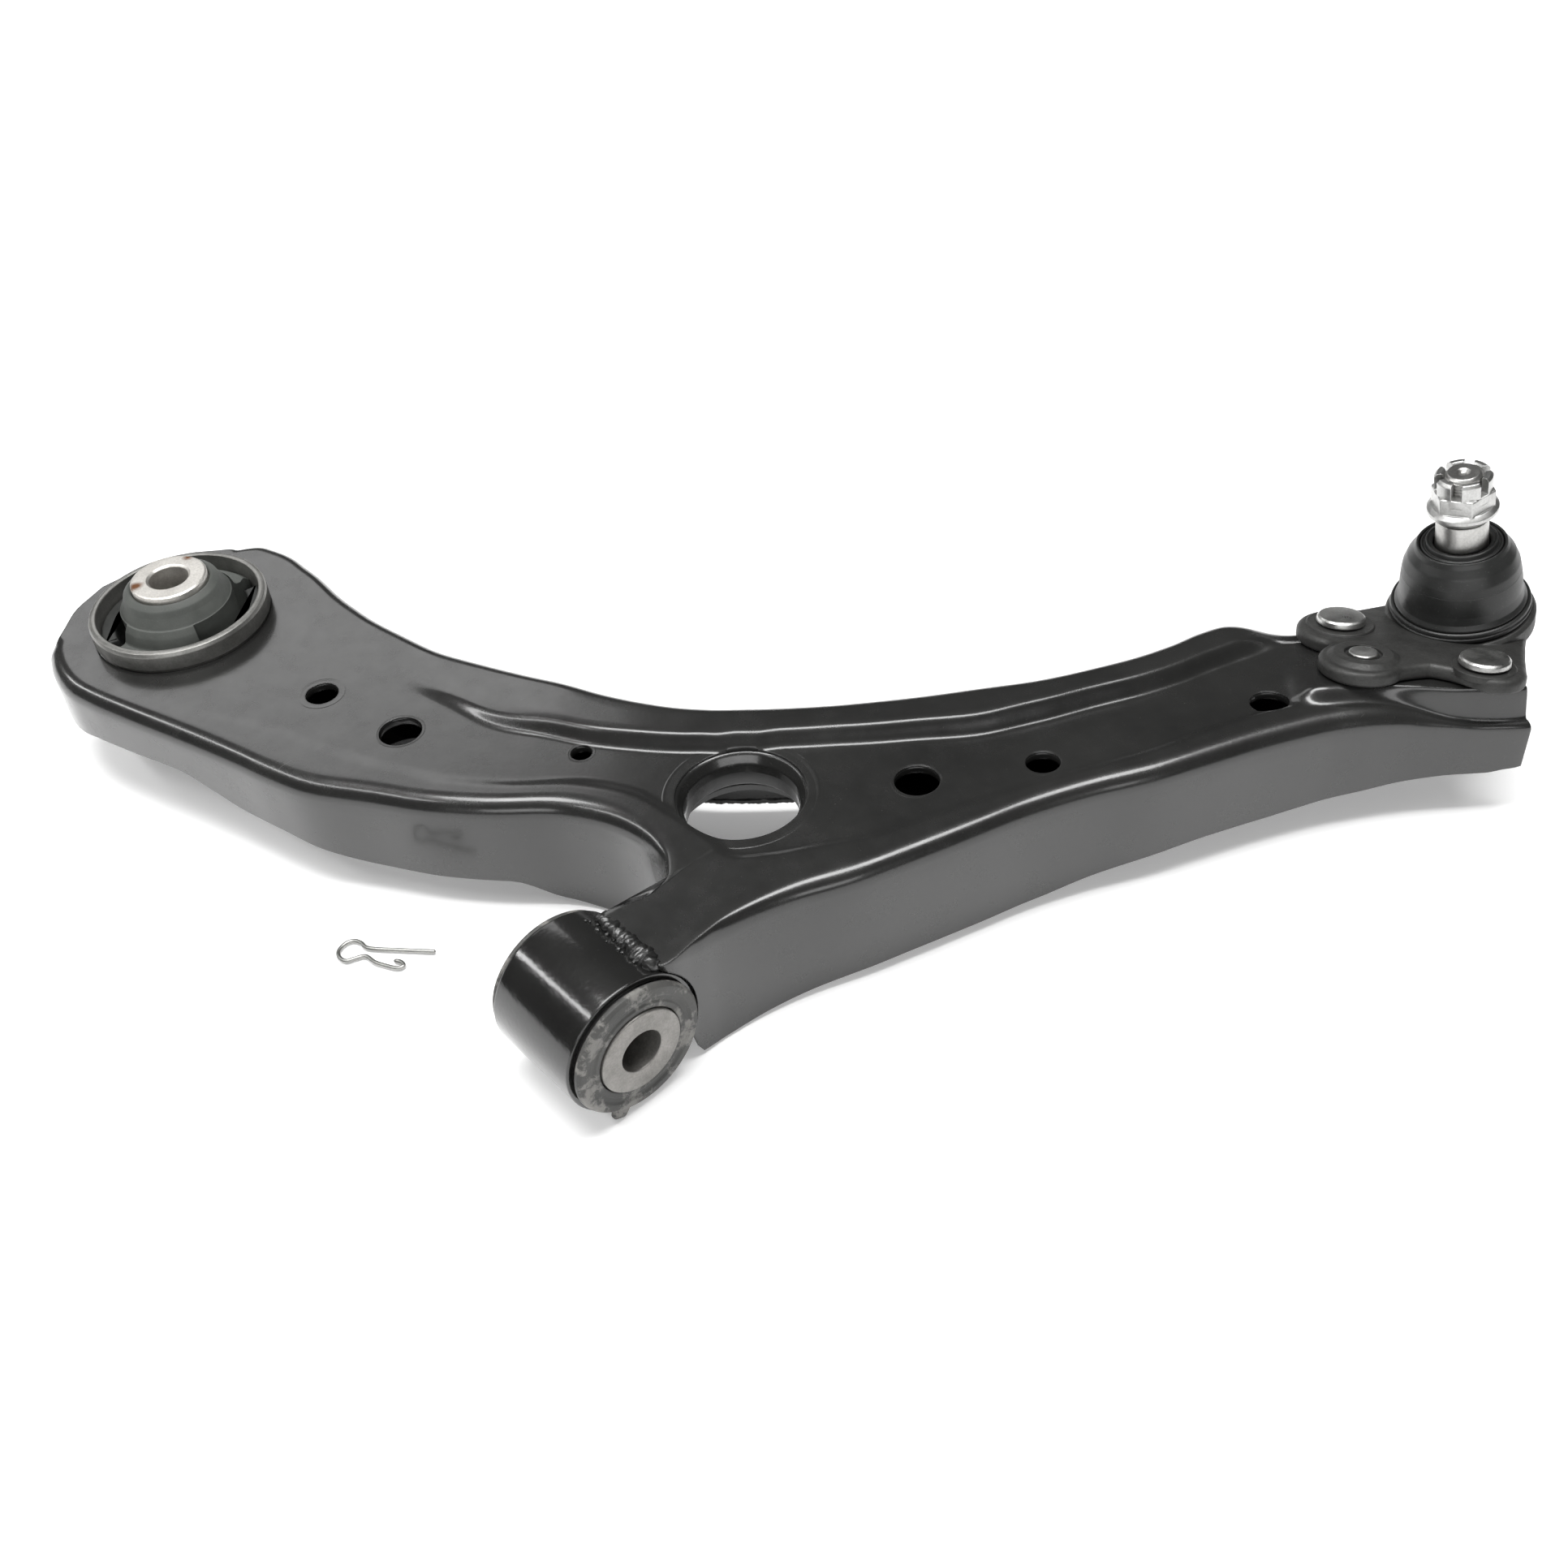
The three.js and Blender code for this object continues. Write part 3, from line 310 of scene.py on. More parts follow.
def rod(r, z0, z1, seg, mat=IDENT):
    verts = [(r * math.cos(2 * math.pi * i / seg), r * math.sin(2 * math.pi * i / seg), z) for z in (z0, z1) for i in range(seg)]
    faces = [tuple(range(seg))[::-1], tuple(range(seg, 2 * seg))] + [(i, (i + 1) % seg, seg + (i + 1) % seg, seg + i) for i in range(seg)]
    return make("rod", verts, faces, MAT_TMP, mat=mat)


def slab(name, outline, z0, z1, bev, material, body=None, mat=IDENT, n=4, bev_low=None, replaces=()):
    """extruded outline with rounded top and bottom edges."""
    k = len(outline)
    P = [Vector(p[:2]) for p in outline]
    area = sum(P[i].x * P[(i + 1) % k].y - P[(i + 1) % k].x * P[i].y for i in range(k))
    if area < 0:
        P.reverse()
    nor = []
    for i in range(k):
        e1, e2 = (P[i] - P[i - 1]).normalized(), (P[(i + 1) % k] - P[i]).normalized()
        t = (e1 + e2)
        t = t.normalized() if t.length > 1e-6 else e2
        nor.append(Vector((-t.y, t.x)))
    bl = bev if bev_low is None else bev_low
    rings = []
    for j in range(n + 1):
        a = math.pi / 2 * j / n
        rings.append((bl * (1 - math.sin(a)), z0 + bl * (1 - math.cos(a))))
    for j in range(n + 1):
        a = math.pi / 2 * j / n
        rings.append((bev * (1 - math.cos(a)), z1 - bev * (1 - math.sin(a))))
    verts, faces = [], []
    for off, z in rings:
        for i in range(k):
            q = P[i] + nor[i] * off
            verts.append((q.x, q.y, z))
    for j in range(len(rings) - 1):
        for i in range(k):
            faces.append((j * k + i, j * k + (i + 1) % k, (j + 1) * k + (i + 1) % k, (j + 1) * k + i))
    faces.append(tuple(range(k))[::-1])
    faces.append(tuple(range((len(rings) - 1) * k, len(rings) * k)))
    return make(name, verts, faces, material, body, mat, 38, replaces)


def catmull(pts, n):
    P = [Vector(p) for p in pts]
    P = [P[0] * 2 - P[1]] + P + [P[-1] * 2 - P[-2]]
    out = []
    for i in range(1, len(P) - 2):
        for j in range(n):
            t = j / n
            a, b, c, d = P[i - 1], P[i], P[i + 1], P[i + 2]
            out.append(0.5 * ((2 * b) + (c - a) * t + (2 * a - 5 * b + 4 * c - d) * t * t + (3 * b - a - 3 * c + d) * t ** 3))
    out.append(P[-2])
    return out


def bead(name, pts, r, material, body=None, sides=14, step=0.45, lump=0.0, ripple=0.0, pitch=1.9, seed=0.0, mat=IDENT, replaces=(), taper=True, flat=1.0):
    """tube along a smooth path with lumps and solidified ripples."""
    path = catmull(pts, 24)
    L = [0.0]
    for a, b in zip(path, path[1:]):
        L.append(L[-1] + (b - a).length)
    n = max(8, int(L[-1] / step))
    res, k = [], 0
    for i in range(n + 1):
        s = L[-1] * i / n
        while k < len(L) - 2 and L[k + 1] < s:
            k += 1
        t = (s - L[k]) / max(1e-9, L[k + 1] - L[k])
        res.append(path[k].lerp(path[k + 1], min(1, t)))
    tan = [(res[min(n, i + 1)] - res[max(0, i - 1)]).normalized() for i in range(n + 1)]
    x = tan[0].orthogonal().normalized()
    verts, faces = [], []
    for i in range(n + 1):
        x = (x - tan[i] * x.dot(tan[i])).normalized()
        y = tan[i].cross(x)
        s = L[-1] * i / n
        e = 1.0
        if taper:
            q = min(s, L[-1] - s) / (r * 1.2)
            e = math.sqrt(max(0.03, 1 - (1 - min(1, q)) ** 2))
        rip = 1 + ripple * (abs(math.sin(math.pi * s / pitch + 0.6 * noise.noise(Vector((s * 0.3, seed, 0))))) - 0.5)
        for j in range(sides):
            a = 2 * math.pi * j / sides
            d = x * math.cos(a) + y * math.sin(a)
            p = res[i]
            lum = 1 + lump * noise.noise(p * 0.35 + d * 0.8 + Vector((seed, 0, 0))) + lump * 0.5 * noise.noise(p * 1.1 + d * 1.5)
            verts.append(p + d * (r * e * rip * lum))
    for i in range(n):
        for j in range(sides):
            faces.append((i * sides + j, i * sides + (j + 1) % sides, (i + 1) * sides + (j + 1) % sides, (i + 1) * sides + j))
    faces.append(tuple(range(sides))[::-1])
    faces.append(tuple(range(n * sides, (n + 1) * sides)))
    return make(name, verts, faces, material, body, mat, 60, replaces)


def blob(p, r, seed, squash=0.6):
    bm = bmesh.new()
    bmesh.ops.create_icosphere(bm, subdivisions=2, radius=1.0)
    verts = [Vector(v.co) * (1 + 0.3 * noise.noise(v.co * 1.7 + Vector((seed, 0, 0)))) * r for v in bm.verts]
    verts = [(v.x + p[0], v.y + p[1], v.z * squash + p[2]) for v in verts]
    faces = [tuple(v.index for v in f.verts) for f in bm.faces]
    bm.free()
    return make("blob", verts, faces, MAT_TMP)


# ------------------------------------------------------------------ materials
MAT_TMP = bpy.data.materials.new("tmp")


class Mat:
    def __init__(self, name):
        self.m = bpy.data.materials.new(name)
        self.m.use_nodes = True
        self.t = self.m.node_tree
        self.b = self.t.nodes["Principled BSDF"]
        self.c = self.t.nodes.new("ShaderNodeTexCoord").outputs["Object"]

    def link(self, a, b):
        self.t.links.new(a, b)

    def noise(self, scale, detail=3.0, rough=0.5, vec=None, dist=0.0):
        n = self.t.nodes.new("ShaderNodeTexNoise")
        n.inputs["Scale"].default_value = scale
        n.inputs["Detail"].default_value = detail
        n.inputs["Roughness"].default_value = rough
        n.inputs["Distortion"].default_value = dist
        self.link(vec or self.c, n.inputs["Vector"])
        return n.outputs["Fac"]

    def stretch(self, sx, sy, sz, rot=(0, 0, 0)):
        n = self.t.nodes.new("ShaderNodeMapping")
        n.inputs["Scale"].default_value = (sx, sy, sz)
        n.inputs["Rotation"].default_value = rot
        self.link(self.c, n.inputs["Vector"])
        return n.outputs["Vector"]

    def ramp(self, fac, stops):
        n = self.t.nodes.new("ShaderNodeValToRGB")
        el = n.color_ramp.elements
        while len(el) < len(stops):
            el.new(0.5)
        for e, (p, col) in zip(el, stops):
            e.position = p
            e.color = tuple(col) + (1,) if isinstance(col, (tuple, list)) else (col, col, col, 1)
        self.link(fac, n.inputs["Fac"])
        return n.outputs["Color"]

    def mix(self, fac, a, b, kind='MIX'):
        n = self.t.nodes.new("ShaderNodeMix")
        n.data_type = 'RGBA'
        n.blend_type = kind
        for s, v in ((n.inputs[0], fac), (n.inputs[6], a), (n.inputs[7], b)):
            if isinstance(v, (int, float)):
                if s.name == "Factor":
                    s.default_value = v
                else:
                    s.default_value = (v, v, v, 1)
            elif isinstance(v, (tuple, list)):
                s.default_value = tuple(v) + (1,)
            else:
                self.link(v, s)
        return n.outputs[2]

    def bump(self, height, strength, dist, under=None):
        n = self.t.nodes.new("ShaderNodeBump")
        n.inputs["Strength"].default_value = strength
        n.inputs["Distance"].default_value = dist
        self.link(height, n.inputs["Height"])
        if under is not None:
            self.link(under, n.inputs["Normal"])
        return n.outputs["Normal"]

    def bevel(self, r):
        n = self.t.nodes.new("ShaderNodeBevel")
        n.samples = 4
        n.inputs["Radius"].default_value = r
        return n.outputs["Normal"]

    def spot(self, centre, radius, soft=0.5):
        """1 near a point of the row frame, ragged at its edge."""
        d = self.t.nodes.new("ShaderNodeVectorMath")
        d.operation = 'DISTANCE'
        self.link(self.c, d.inputs[0])
        d.inputs[1].default_value = tuple(centre)
        add = self.t.nodes.new("ShaderNodeMath")
        add.operation = 'MULTIPLY_ADD'
        self.link(self.noise(260, 4, 0.6), add.inputs[0])
        add.inputs[1].default_value = radius * 1.6
        self.link(d.outputs["Value"], add.inputs[2])
        mr = self.t.nodes.new("ShaderNodeMapRange")
        mr.inputs["From Min"].default_value = radius * (1.8 + soft)
        mr.inputs["From Max"].default_value = radius * 1.8 - radius * soft
        self.link(add.outputs[0], mr.inputs["Value"])
        return mr.outputs["Result"]

    def put(self, col=None, rough=None, normal=None, metal=None, spec=None, coat=None, coat_r=None):
        for key, v in (("Base Color", col), ("Roughness", rough), ("Normal", normal), ("Metallic", metal),
                       ("Specular IOR Level", spec), ("Coat Weight", coat), ("Coat Roughness", coat_r)):
            if v is None:
                continue
            s = self.b.inputs[key]
            if isinstance(v, (int, float)):
                s.default_value = v
            elif isinstance(v, (tuple, list)):
                s.default_value = tuple(v) + (1,)
            else:
                self.link(v, s)
        return self.m


def paint(name, lo=0.011, hi=0.018, r0=0.20, r1=0.30, peel=0.07, burnt=None, lumpy=False):
    m = Mat(name)
    big = m.noise(28, 4, 0.6)
    col = m.ramp(big, [(0.3, (lo, lo, lo * 0.97)), (0.72, (hi, hi, hi * 0.96))])
    sv = m.stretch(900, 40, 400, (0.2, 0.1, 0.9))
    scr = m.ramp(m.noise(1.0, 2, 0.5, sv), [(0.70, 0.0), (0.74, 1.0)])
    patch = m.ramp(m.noise(55, 3, 0.6), [(0.60, 0.0), (0.74, 1.0)])
    scuff = m.mix(1.0, scr, patch, 'MULTIPLY')
    dust = m.ramp(m.noise(1500, 2, 0.5), [(0.73, 0.0), (0.80, 1.0)])
    col = m.mix(m.mix(0.5, scuff, 0.0), col, (0.10, 0.10, 0.096))
    dn = m.mix(0.75, dust, 0.0)
    col = m.mix(dn, col, (0.16, 0.155, 0.14))
    if burnt:
        col = m.mix(m.spot(burnt, 0.0026), col, (0.12, 0.06, 0.03))
    rough = m.ramp(m.noise(90, 4, 0.65), [(0.3, r0), (0.7, r1)])
    rough = m.mix(m.mix(0.7, scuff, 0.0), rough, 0.5)
    nb = m.bevel(0.0007)
    n1 = m.bump(m.noise(38, 1, 0.3), 0.10, 0.0006, nb)
    n2 = m.bump(m.noise(620 if not lumpy else 420, 2, 0.5), peel, 0.0006 if lumpy else 0.0003, n1)
    return m.put(col, rough, n2, 0.0, 0.55, 0.35, 0.10)


def steel(name, c0, c1, r0, r1, metal=1.0, rust=(), grain=900, bumpy=0.12, brushed=None, spec=0.5):
    m = Mat(name)
    col = m.ramp(m.noise(70, 5, 0.65), [(0.3, c0), (0.7, c1)])
    grit = m.ramp(m.noise(1300, 3, 0.6), [(0.35, 0.72), (0.65, 1.0)])
    col = m.mix(0.6, col, m.mix(1.0, col, grit, 'MULTIPLY'))
    for p, r in rust:
        col = m.mix(m.spot(p, r), col, (0.16, 0.065, 0.025))
    rough = m.ramp(m.noise(160, 4, 0.6), [(0.3, r0), (0.7, r1)])
    vec = brushed and m.stretch(*brushed)
    nb = m.bevel(0.0004)
    n1 = m.bump(m.noise(1.0 if brushed else grain, 3, 0.6, vec), bumpy, 0.0003, nb)
    return m.put(col, rough, n1, metal, spec)


def rubber(name, c0, c1, r0, r1, worn=None, bumpy=0.2):
    m = Mat(name)
    col = m.ramp(m.noise(60, 4, 0.6), [(0.3, c0), (0.7, c1)])
    grit = m.ramp(m.noise(1600, 2, 0.6), [(0.66, 0.0), (0.78, 1.0)])
    col = m.mix(m.mix(0.35, 0.0, grit), col, (0.16, 0.165, 0.155))
    if worn:
        col = m.mix(m.ramp(m.noise(worn[0], 5, 0.7), [(worn[1], 0.0), (worn[1] + 0.09, 1.0)]), col, worn[2])
    rough = m.ramp(m.noise(120, 4, 0.6), [(0.3, r0), (0.7, r1)])
    n1 = m.bump(m.noise(240, 4, 0.6), bumpy, 0.0004, m.bevel(0.0004))
    n2 = m.bump(m.noise(1400, 2, 0.6), bumpy * 0.7, 0.0002, n1)
    return m.put(col, rough, n2, 0.0, 0.4)


TOPZ = 19.6
PAINT = paint("ecoat_plate")
PAINT_TUBE = paint("ecoat_tube", 0.008, 0.014, 0.13, 0.20, 0.16)
WELD = paint("ecoat_weld", 0.008, 0.016, 0.26, 0.45, 0.5, burnt=row(258.5, -148.0, 3.0), lumpy=True)
CAST = steel("phosphated_forging", (0.022, 0.022, 0.021), (0.042, 0.042, 0.04), 0.42, 0.6, 0.25, grain=650, bumpy=0.5)
CAN = steel("can_steel", (0.20, 0.20, 0.19), (0.32, 0.315, 0.30), 0.32, 0.46, 0.8, bumpy=0.12)
SLEEVE = steel("sleeve_steel", (0.52, 0.50, 0.47), (0.74, 0.72, 0.68), 0.34, 0.5, 0.85,
               rust=((row(-10.5, -5.0, TOPZ), 0.0022), (row(4.5, 12.0, TOPZ), 0.0016)), bumpy=0.25)
SLEEVE_F = steel("front_sleeve_steel", (0.16, 0.155, 0.145), (0.30, 0.29, 0.275), 0.38, 0.55, 0.8, bumpy=0.3)
OUTER = steel("outer_sleeve_steel", (0.08, 0.08, 0.078), (0.14, 0.14, 0.135), 0.4, 0.55, 0.7)
ZINC = steel("bright_zinc", (0.50, 0.50, 0.49), (0.62, 0.62, 0.61), 0.30, 0.42, 1.0, bumpy=0.04)
ZINC_PIN = steel("pin_zinc", (0.30, 0.30, 0.29), (0.44, 0.44, 0.42), 0.28, 0.42, 1.0, bumpy=0.15)
ZINC_RIVET = steel("rivet_zinc", (0.50, 0.50, 0.49), (0.68, 0.68, 0.66), 0.26, 0.42, 1.0, bumpy=0.2)
STUD = steel("turned_stud", (0.46, 0.455, 0.44), (0.58, 0.575, 0.56), 0.28, 0.40, 1.0, bumpy=0.04)
RUB_REAR = rubber("rear_rubber", (0.046, 0.050, 0.046), (0.082, 0.087, 0.080), 0.5, 0.68, worn=(150, 0.64, (0.085, 0.09, 0.082)), bumpy=0.3)
RUB_FRONT = rubber("front_rubber", (0.035, 0.035, 0.034), (0.075, 0.074, 0.070), 0.45, 0.65, worn=(130, 0.50, (0.17, 0.165, 0.155)), bumpy=0.35)
RUB_STOP = rubber("stop_rubber", (0.022, 0.023, 0.022), (0.036, 0.037, 0.035), 0.5, 0.7)
BOOT = rubber("boot_rubber", (0.014, 0.0145, 0.014), (0.022, 0.0225, 0.022), 0.30, 0.42, bumpy=0.08)
SEAT = rubber("acetal", (0.6, 0.58, 0.5), (0.7, 0.68, 0.6), 0.4, 0.55, bumpy=0.05)
DARK = steel("cap_steel", (0.08, 0.08, 0.078), (0.14, 0.14, 0.135), 0.4, 0.55, 0.6)


# ------------------------------------------------------------------ pressings
def floor_z(u, v):
    zf = -math.tan(math.radians(smooth(TILT, u))) * (v - smooth(TILT_V, u))
    seat = FL_O.z - FL_T - 0.6 + FL_AU * (u - FL_O.x) + FL_AV * (v - FL_O.y)
    k = min(1.0, max(0.0, (u - 393) / 11))
    return lerp(zf, seat, k * k * (3 - 2 * k))


def low_flat(u, v):
    return min(-17.0, table([(-60, -15.5), (20, -15.5), (60, -17), (380, -17), (400, -16), (470, -15)], u))


def section(s, inset, t, fine, flat=None):
    bu, bv, mu, mv, fu, fv, bot_b, bot_f, w_b, w_f, r_b, r_f, flare = s
    fl = flat or floor_z
    nw, na, nc, ns, nf = (6, 9, 4, 9, 9) if fine else (2, 3, 1, 2, 3)

    def side(eu, ev, crest, bot, w, r, flr):
        dx, dy = mu - eu, mv - ev
        L = math.hypot(dx, dy)
        d = (dx / L, dy / L)

        def at(off, z):
            return (eu + d[0] * off, ev + d[1] * off, z)
        r1 = max(0.3, r - (1.5 if inset else 0))
        ri = max(0.25, r1 - t)
        botz = bot + (1.5 if inset else 0)
        ws = table(RECESS, eu)
        W = min(max(w, inset + r1 + 0.6), L - ws - 1.5)
        ex = at(W + ws, 0)
        ef = fl(ex[0], ex[1])
        out, inn = [], []
        for j in range(nw):
            q = j / nw
            out.append(at(inset - flr * (1 - q), lerp(botz, crest - r1, q)))
            inn.append(at(inset + t - flr * (1 - q), lerp(botz, crest - t - ri, q)))
        for j in range(na + 1):
            a = math.pi / 2 * j / na
            c, g = 1 - math.cos(a), 1 - math.sin(a)
            out.append(at(inset + r1 * c, crest - r1 * g))
            inn.append(at(inset + t + ri * c, crest - t - ri * g))
        a0, a1 = inset + r1, max(W - 1.0, inset + r1 + 0.15)
        for j in range(1, nc):
            out.append(at(lerp(a0, a1, j / nc), crest))
            inn.append(at(max(lerp(a0, a1, j / nc), inset + t + ri), crest - t))
        for j in range(ns + 1):
            q = j / ns
            off = lerp(a1, W + ws, q)
            z = lerp(crest, ef, q * q * (3 - 2 * q))
            out.append(at(off, z))
            inn.append(at(max(off, inset + t + ri), z - t))
        for j in range(1, nf):
            q = j / nf
            x, y = lerp(ex[0], mu, q), lerp(ex[1], mv, q)
            z = fl(x, y)
            out.append((x, y, z))
            inn.append((x, y, z - t))
        return out, inn

    cf = fl(fu, fv) if flat else smooth(CREST_F, fu)
    cb = fl(bu, bv) if flat else smooth(CREST_B, bu)
    F = side(fu, fv, cf, bot_f, w_f, r_f, flare)
    B = side(bu, bv, cb, bot_b, w_b, r_b, 0)
    zm = fl(mu, mv)
    return F[0] + [(mu, mv, zm)] + B[0][::-1], F[1] + [(mu, mv, zm - t)] + B[1][::-1]


def even_edge(cols, i0, i1):
    """evens out the edge of the recess along the front shoulder, between two sections."""
    n = len(cols[0])
    pts, dirs = [], []
    for i in range(n):
        mu, mv, fu, fv, w, r = cols[2][i], cols[3][i], cols[4][i], cols[5][i], cols[9][i], cols[11][i]
        L = math.hypot(mu - fu, mv - fv)
        d = Vector(((mu - fu) / L, (mv - fv) / L))
        ws = table(RECESS, fu)
        off = min(max(w, r + 0.6), L - ws - 1.5) + ws
        dirs.append((Vector((fu, fv)), d, L, ws))
        pts.append(Vector((fu, fv)) + d * off)
    for _ in range(14):
        new = list(pts)
        for i in range(i0, i1):
            new[i] = (pts[i - 2] + pts[i - 1] * 2 + pts[i] * 2 + pts[i + 1] * 2 + pts[i + 2]) / 8
        pts = new
    for i in range(i0, i1):
        e, d, L, ws = dirs[i]
        off = min((pts[i] - e).dot(d), L + 2.0)
        if off > L - ws * 0.3 - 1.5:
            m = e + d * (off + 3.0)
            cols[2][i], cols[3][i] = m.x, m.y
            L = off + 3.0
        cols[9][i] = off - ws


def shell(name, stations, inset, t, sub, fine, flat=None):
    cols = [pchip([s[i] for s in stations], sub) for i in range(13)]
    if not flat:
        even_edge(cols, 19 * sub, 31 * sub)
    secs = [section(tuple(c[i] for c in cols), inset, t, fine, flat) for i in range(len(cols[0]))]
    K, N = len(secs[0][0]), len(secs)
    verts, faces = [], []
    for a, b in secs:
        verts += a + b
    for i in range(N - 1):
        o, p = i * 2 * K, (i + 1) * 2 * K
        for k in range(K - 1):
            faces.append((o + k, p + k, p + k + 1, o + k + 1))
            faces.append((o + K + k, o + K + k + 1, p + K + k + 1, p + K + k))
        faces.append((o, o + K, p + K, p))
        faces.append((o + K - 1, p + K - 1, p + 2 * K - 1, o + 2 * K - 1))
    e = (N - 1) * 2 * K
    for k in range(K - 1):
        faces.append((k, k + 1, K + k + 1, K + k))
        faces.append((e + k, e + K + k, e + K + k + 1, e + k + 1))
    return make(name, verts, faces, PAINT, sharp=50)


up_st = [list(s) for s in STATIONS]
for k in range(43, len(up_st)):
    up_st[k][9], up_st[k][11] = 3.4, 2.7
upper = shell("plate_upper", up_st, 0.0, T_UP, 5, True)
cuts = [rod(r, -14, 14, 64, Matrix.Translation((u, v, 0))) for u, v, r, rl in HOLES]
cuts.append(rod(MAIN[2] + 3.0, -14, 14, 96, Matrix.Translation((MAIN[0], MAIN[1], 0))))
cuts.append(rod(CAN_R + 0.45, -60, 30, 128))
cuts.append(rod(24.4, 190, 300, 96, FB))
cuts.append(rod(22.7, -60, 12, 96, BALL))
cuts += [rod(4.3, -16, 8, 32, frame_on(RIVETS[k], FL_N)) for k in RIVETS]
cut(upper, cuts, PAINT, 50, 'MANIFOLD')
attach(upper, "arm")
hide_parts("upper_shell")

low_st = [list(s) for s in STATIONS[4:45]]
for k, p in {22: (190.5, -153), 23: (191.8, -159), 24: (193.8, -164), 25: (196.4, -168.5), 26: (199.6, -173), 27: (203.5, -176.5)}.items():
    s = low_st[k - 4]
    s[4], s[5], s[7], s[9], s[11], s[12] = p[0], p[1], -36, 12, 6.5, 0
lower = shell("plate_lower", low_st, NEST, T_LOW, 3, True, low_flat)
cuts = [rod(rl, -40, 0, 64, Matrix.Translation((u, v, 0))) for u, v, r, rl in HOLES if rl]
cuts.append(rod(23.0, -40, -5, 96, Matrix.Translation((MAIN[0], MAIN[1], 0))))
cuts.append(rod(CAN_R + 0.45, -60, 30, 128))
cuts.append(rod(24.4, 190, 300, 96, FB))
cuts.append(rod(22.7, -60, 12, 96, BALL))
cuts += [rod(10.5, -40, -12, 48, frame_on(RIVETS[k], FL_N)) for k in RIVETS]
cut(lower, cuts, PAINT, 50, 'MANIFOLD')
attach(lower, "arm")
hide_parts("lower_shell")


def floor_frame(u, v):
    dz_du = (floor_z(u + 1, v) - floor_z(u - 1, v)) / 2
    dz_dv = (floor_z(u, v + 1) - floor_z(u, v - 1)) / 2
    return frame_on((u, v, floor_z(u, v)), Vector((-dz_du, -dz_dv, 1)))


# rolled edges of the punched holes and the turned-down flange of the large one
for i, (u, v, r, rl) in enumerate(HOLES):
    wide = 2.2 if i == 0 else 0.8
    lathe("hole_edge_%d" % i, [(r - 0.12, -2.6), (r - 0.12, -0.75), (r + 0.2, -0.25), (r + wide * 0.5, -0.02), (r + wide, 0.05), (r + wide + 1.2, -0.12), (r + wide + 0.3, -0.9), (r + 0.5, -2.6)],
          PAINT, "arm", floor_frame(u, v), 72, 0.5)
lathe("main_hole_flange", [(MAIN[2], -13), (MAIN[2] + 2.6, -13), (MAIN[2] + 3.2, -9), (MAIN[3] + 0.2, -3.6), (MAIN[3] + 4.0, -2.4), (MAIN[3] + 4.6, -0.35), (MAIN[3] + 3.0, 0.10),
                           (MAIN[3] + 0.9, -0.12, 2), (MAIN[3] - 1.5, -1.3, 2), (MAIN[2] + 0.5, -4.4, 3), (MAIN[2], -7.5, 2)],
      PAINT, "arm", Matrix.Translation((MAIN[0], MAIN[1], 0)), 128, 0.8)


# ------------------------------------------------------------------ weld beads
def hem_path(i0, i1, front, inset, dz):
    out = []
    for s in STATIONS[i0:i1 + 1]:
        e = (s[4], s[5]) if front else (s[0], s[1])
        dx, dy = s[2] - e[0], s[3] - e[1]
        L = math.hypot(dx, dy)
        out.append((e[0] + dx / L * inset, e[1] + dy / L * inset, (s[7] if front else s[6]) + dz))
    return out


bead("weld_inner", hem_path(5, 16, True, 4.9, 0.5), 1.7, WELD, "arm", lump=0.28, ripple=0.16, seed=1, replaces=("seam_weld_inner",), step=0.8, sides=10)
bead("weld_front", hem_path(31, 43, True, 4.9, 0.5), 1.7, WELD, "arm", lump=0.28, ripple=0.16, seed=2, replaces=("seam_weld_front",), step=0.8, sides=10)
bead("weld_back", hem_path(6, 43, False, 4.9, 0.5), 1.7, WELD, "arm", lump=0.28, ripple=0.16, seed=3, replaces=("seam_weld_back",), step=0.8, sides=10)


def tube_pt(s, ang, R):
    a = math.radians(ang)
    p = FB @ Vector((R * math.cos(a), R * math.sin(a), s))
    return tuple(p)


def tube_sp(s, p, R):
    z = FB_Z + math.sqrt(max(0.0, R * R - p * p))
    u = s * math.cos(-ROT) - p * math.sin(-ROT)
    v = s * math.sin(-ROT) + p * math.cos(-ROT)
    return (u, v, z)


top_path = [tube_sp(lerp(236.5, 267.5, i / 8), lerp(15.8, 12.4, i / 8) + 0.4 * math.sin(i * 2.1), 25.0) for i in range(9)]
parts = [bead("wt", top_path, 2.7, WELD, lump=0.5, ripple=0.3, pitch=2.2, seed=4)]
for i in range(11):
    q = random.random()
    parts.append(blob(tube_sp(lerp(236, 267, q), lerp(15.6, 12.4, q) - random.uniform(2.6, 5.6), 24.3), random.uniform(0.35, 0.9), i))
join("weld_tube_top", parts, WELD, "arm", ("tube_weld_top",), 60)
side_path = []
for i in range(8):
    a = math.radians(lerp(34, 120, i / 7))
    p, R = 25.2 * math.sin(a), 25.2
    side_path.append((263.5 * math.cos(-ROT) - p * math.sin(-ROT), 263.5 * math.sin(-ROT) + p * math.cos(-ROT), FB_Z + R * math.cos(a)))
parts = [bead("ws", side_path, 2.5, WELD, lump=0.5, ripple=0.3, pitch=2.2, seed=5)]
for i in range(6):
    a = math.radians(random.uniform(30, 80))
    p = 24.4 * math.sin(a)
    s = 266.4 + random.random() * 1.2
    parts.append(blob((s * math.cos(-ROT) - p * math.sin(-ROT), s * math.sin(-ROT) + p * math.cos(-ROT), FB_Z + 24.3 * math.cos(a)), random.uniform(0.35, 0.7), 20 + i))
join("weld_tube_side", parts, WELD, "arm", ("tube_weld_side",), 60)

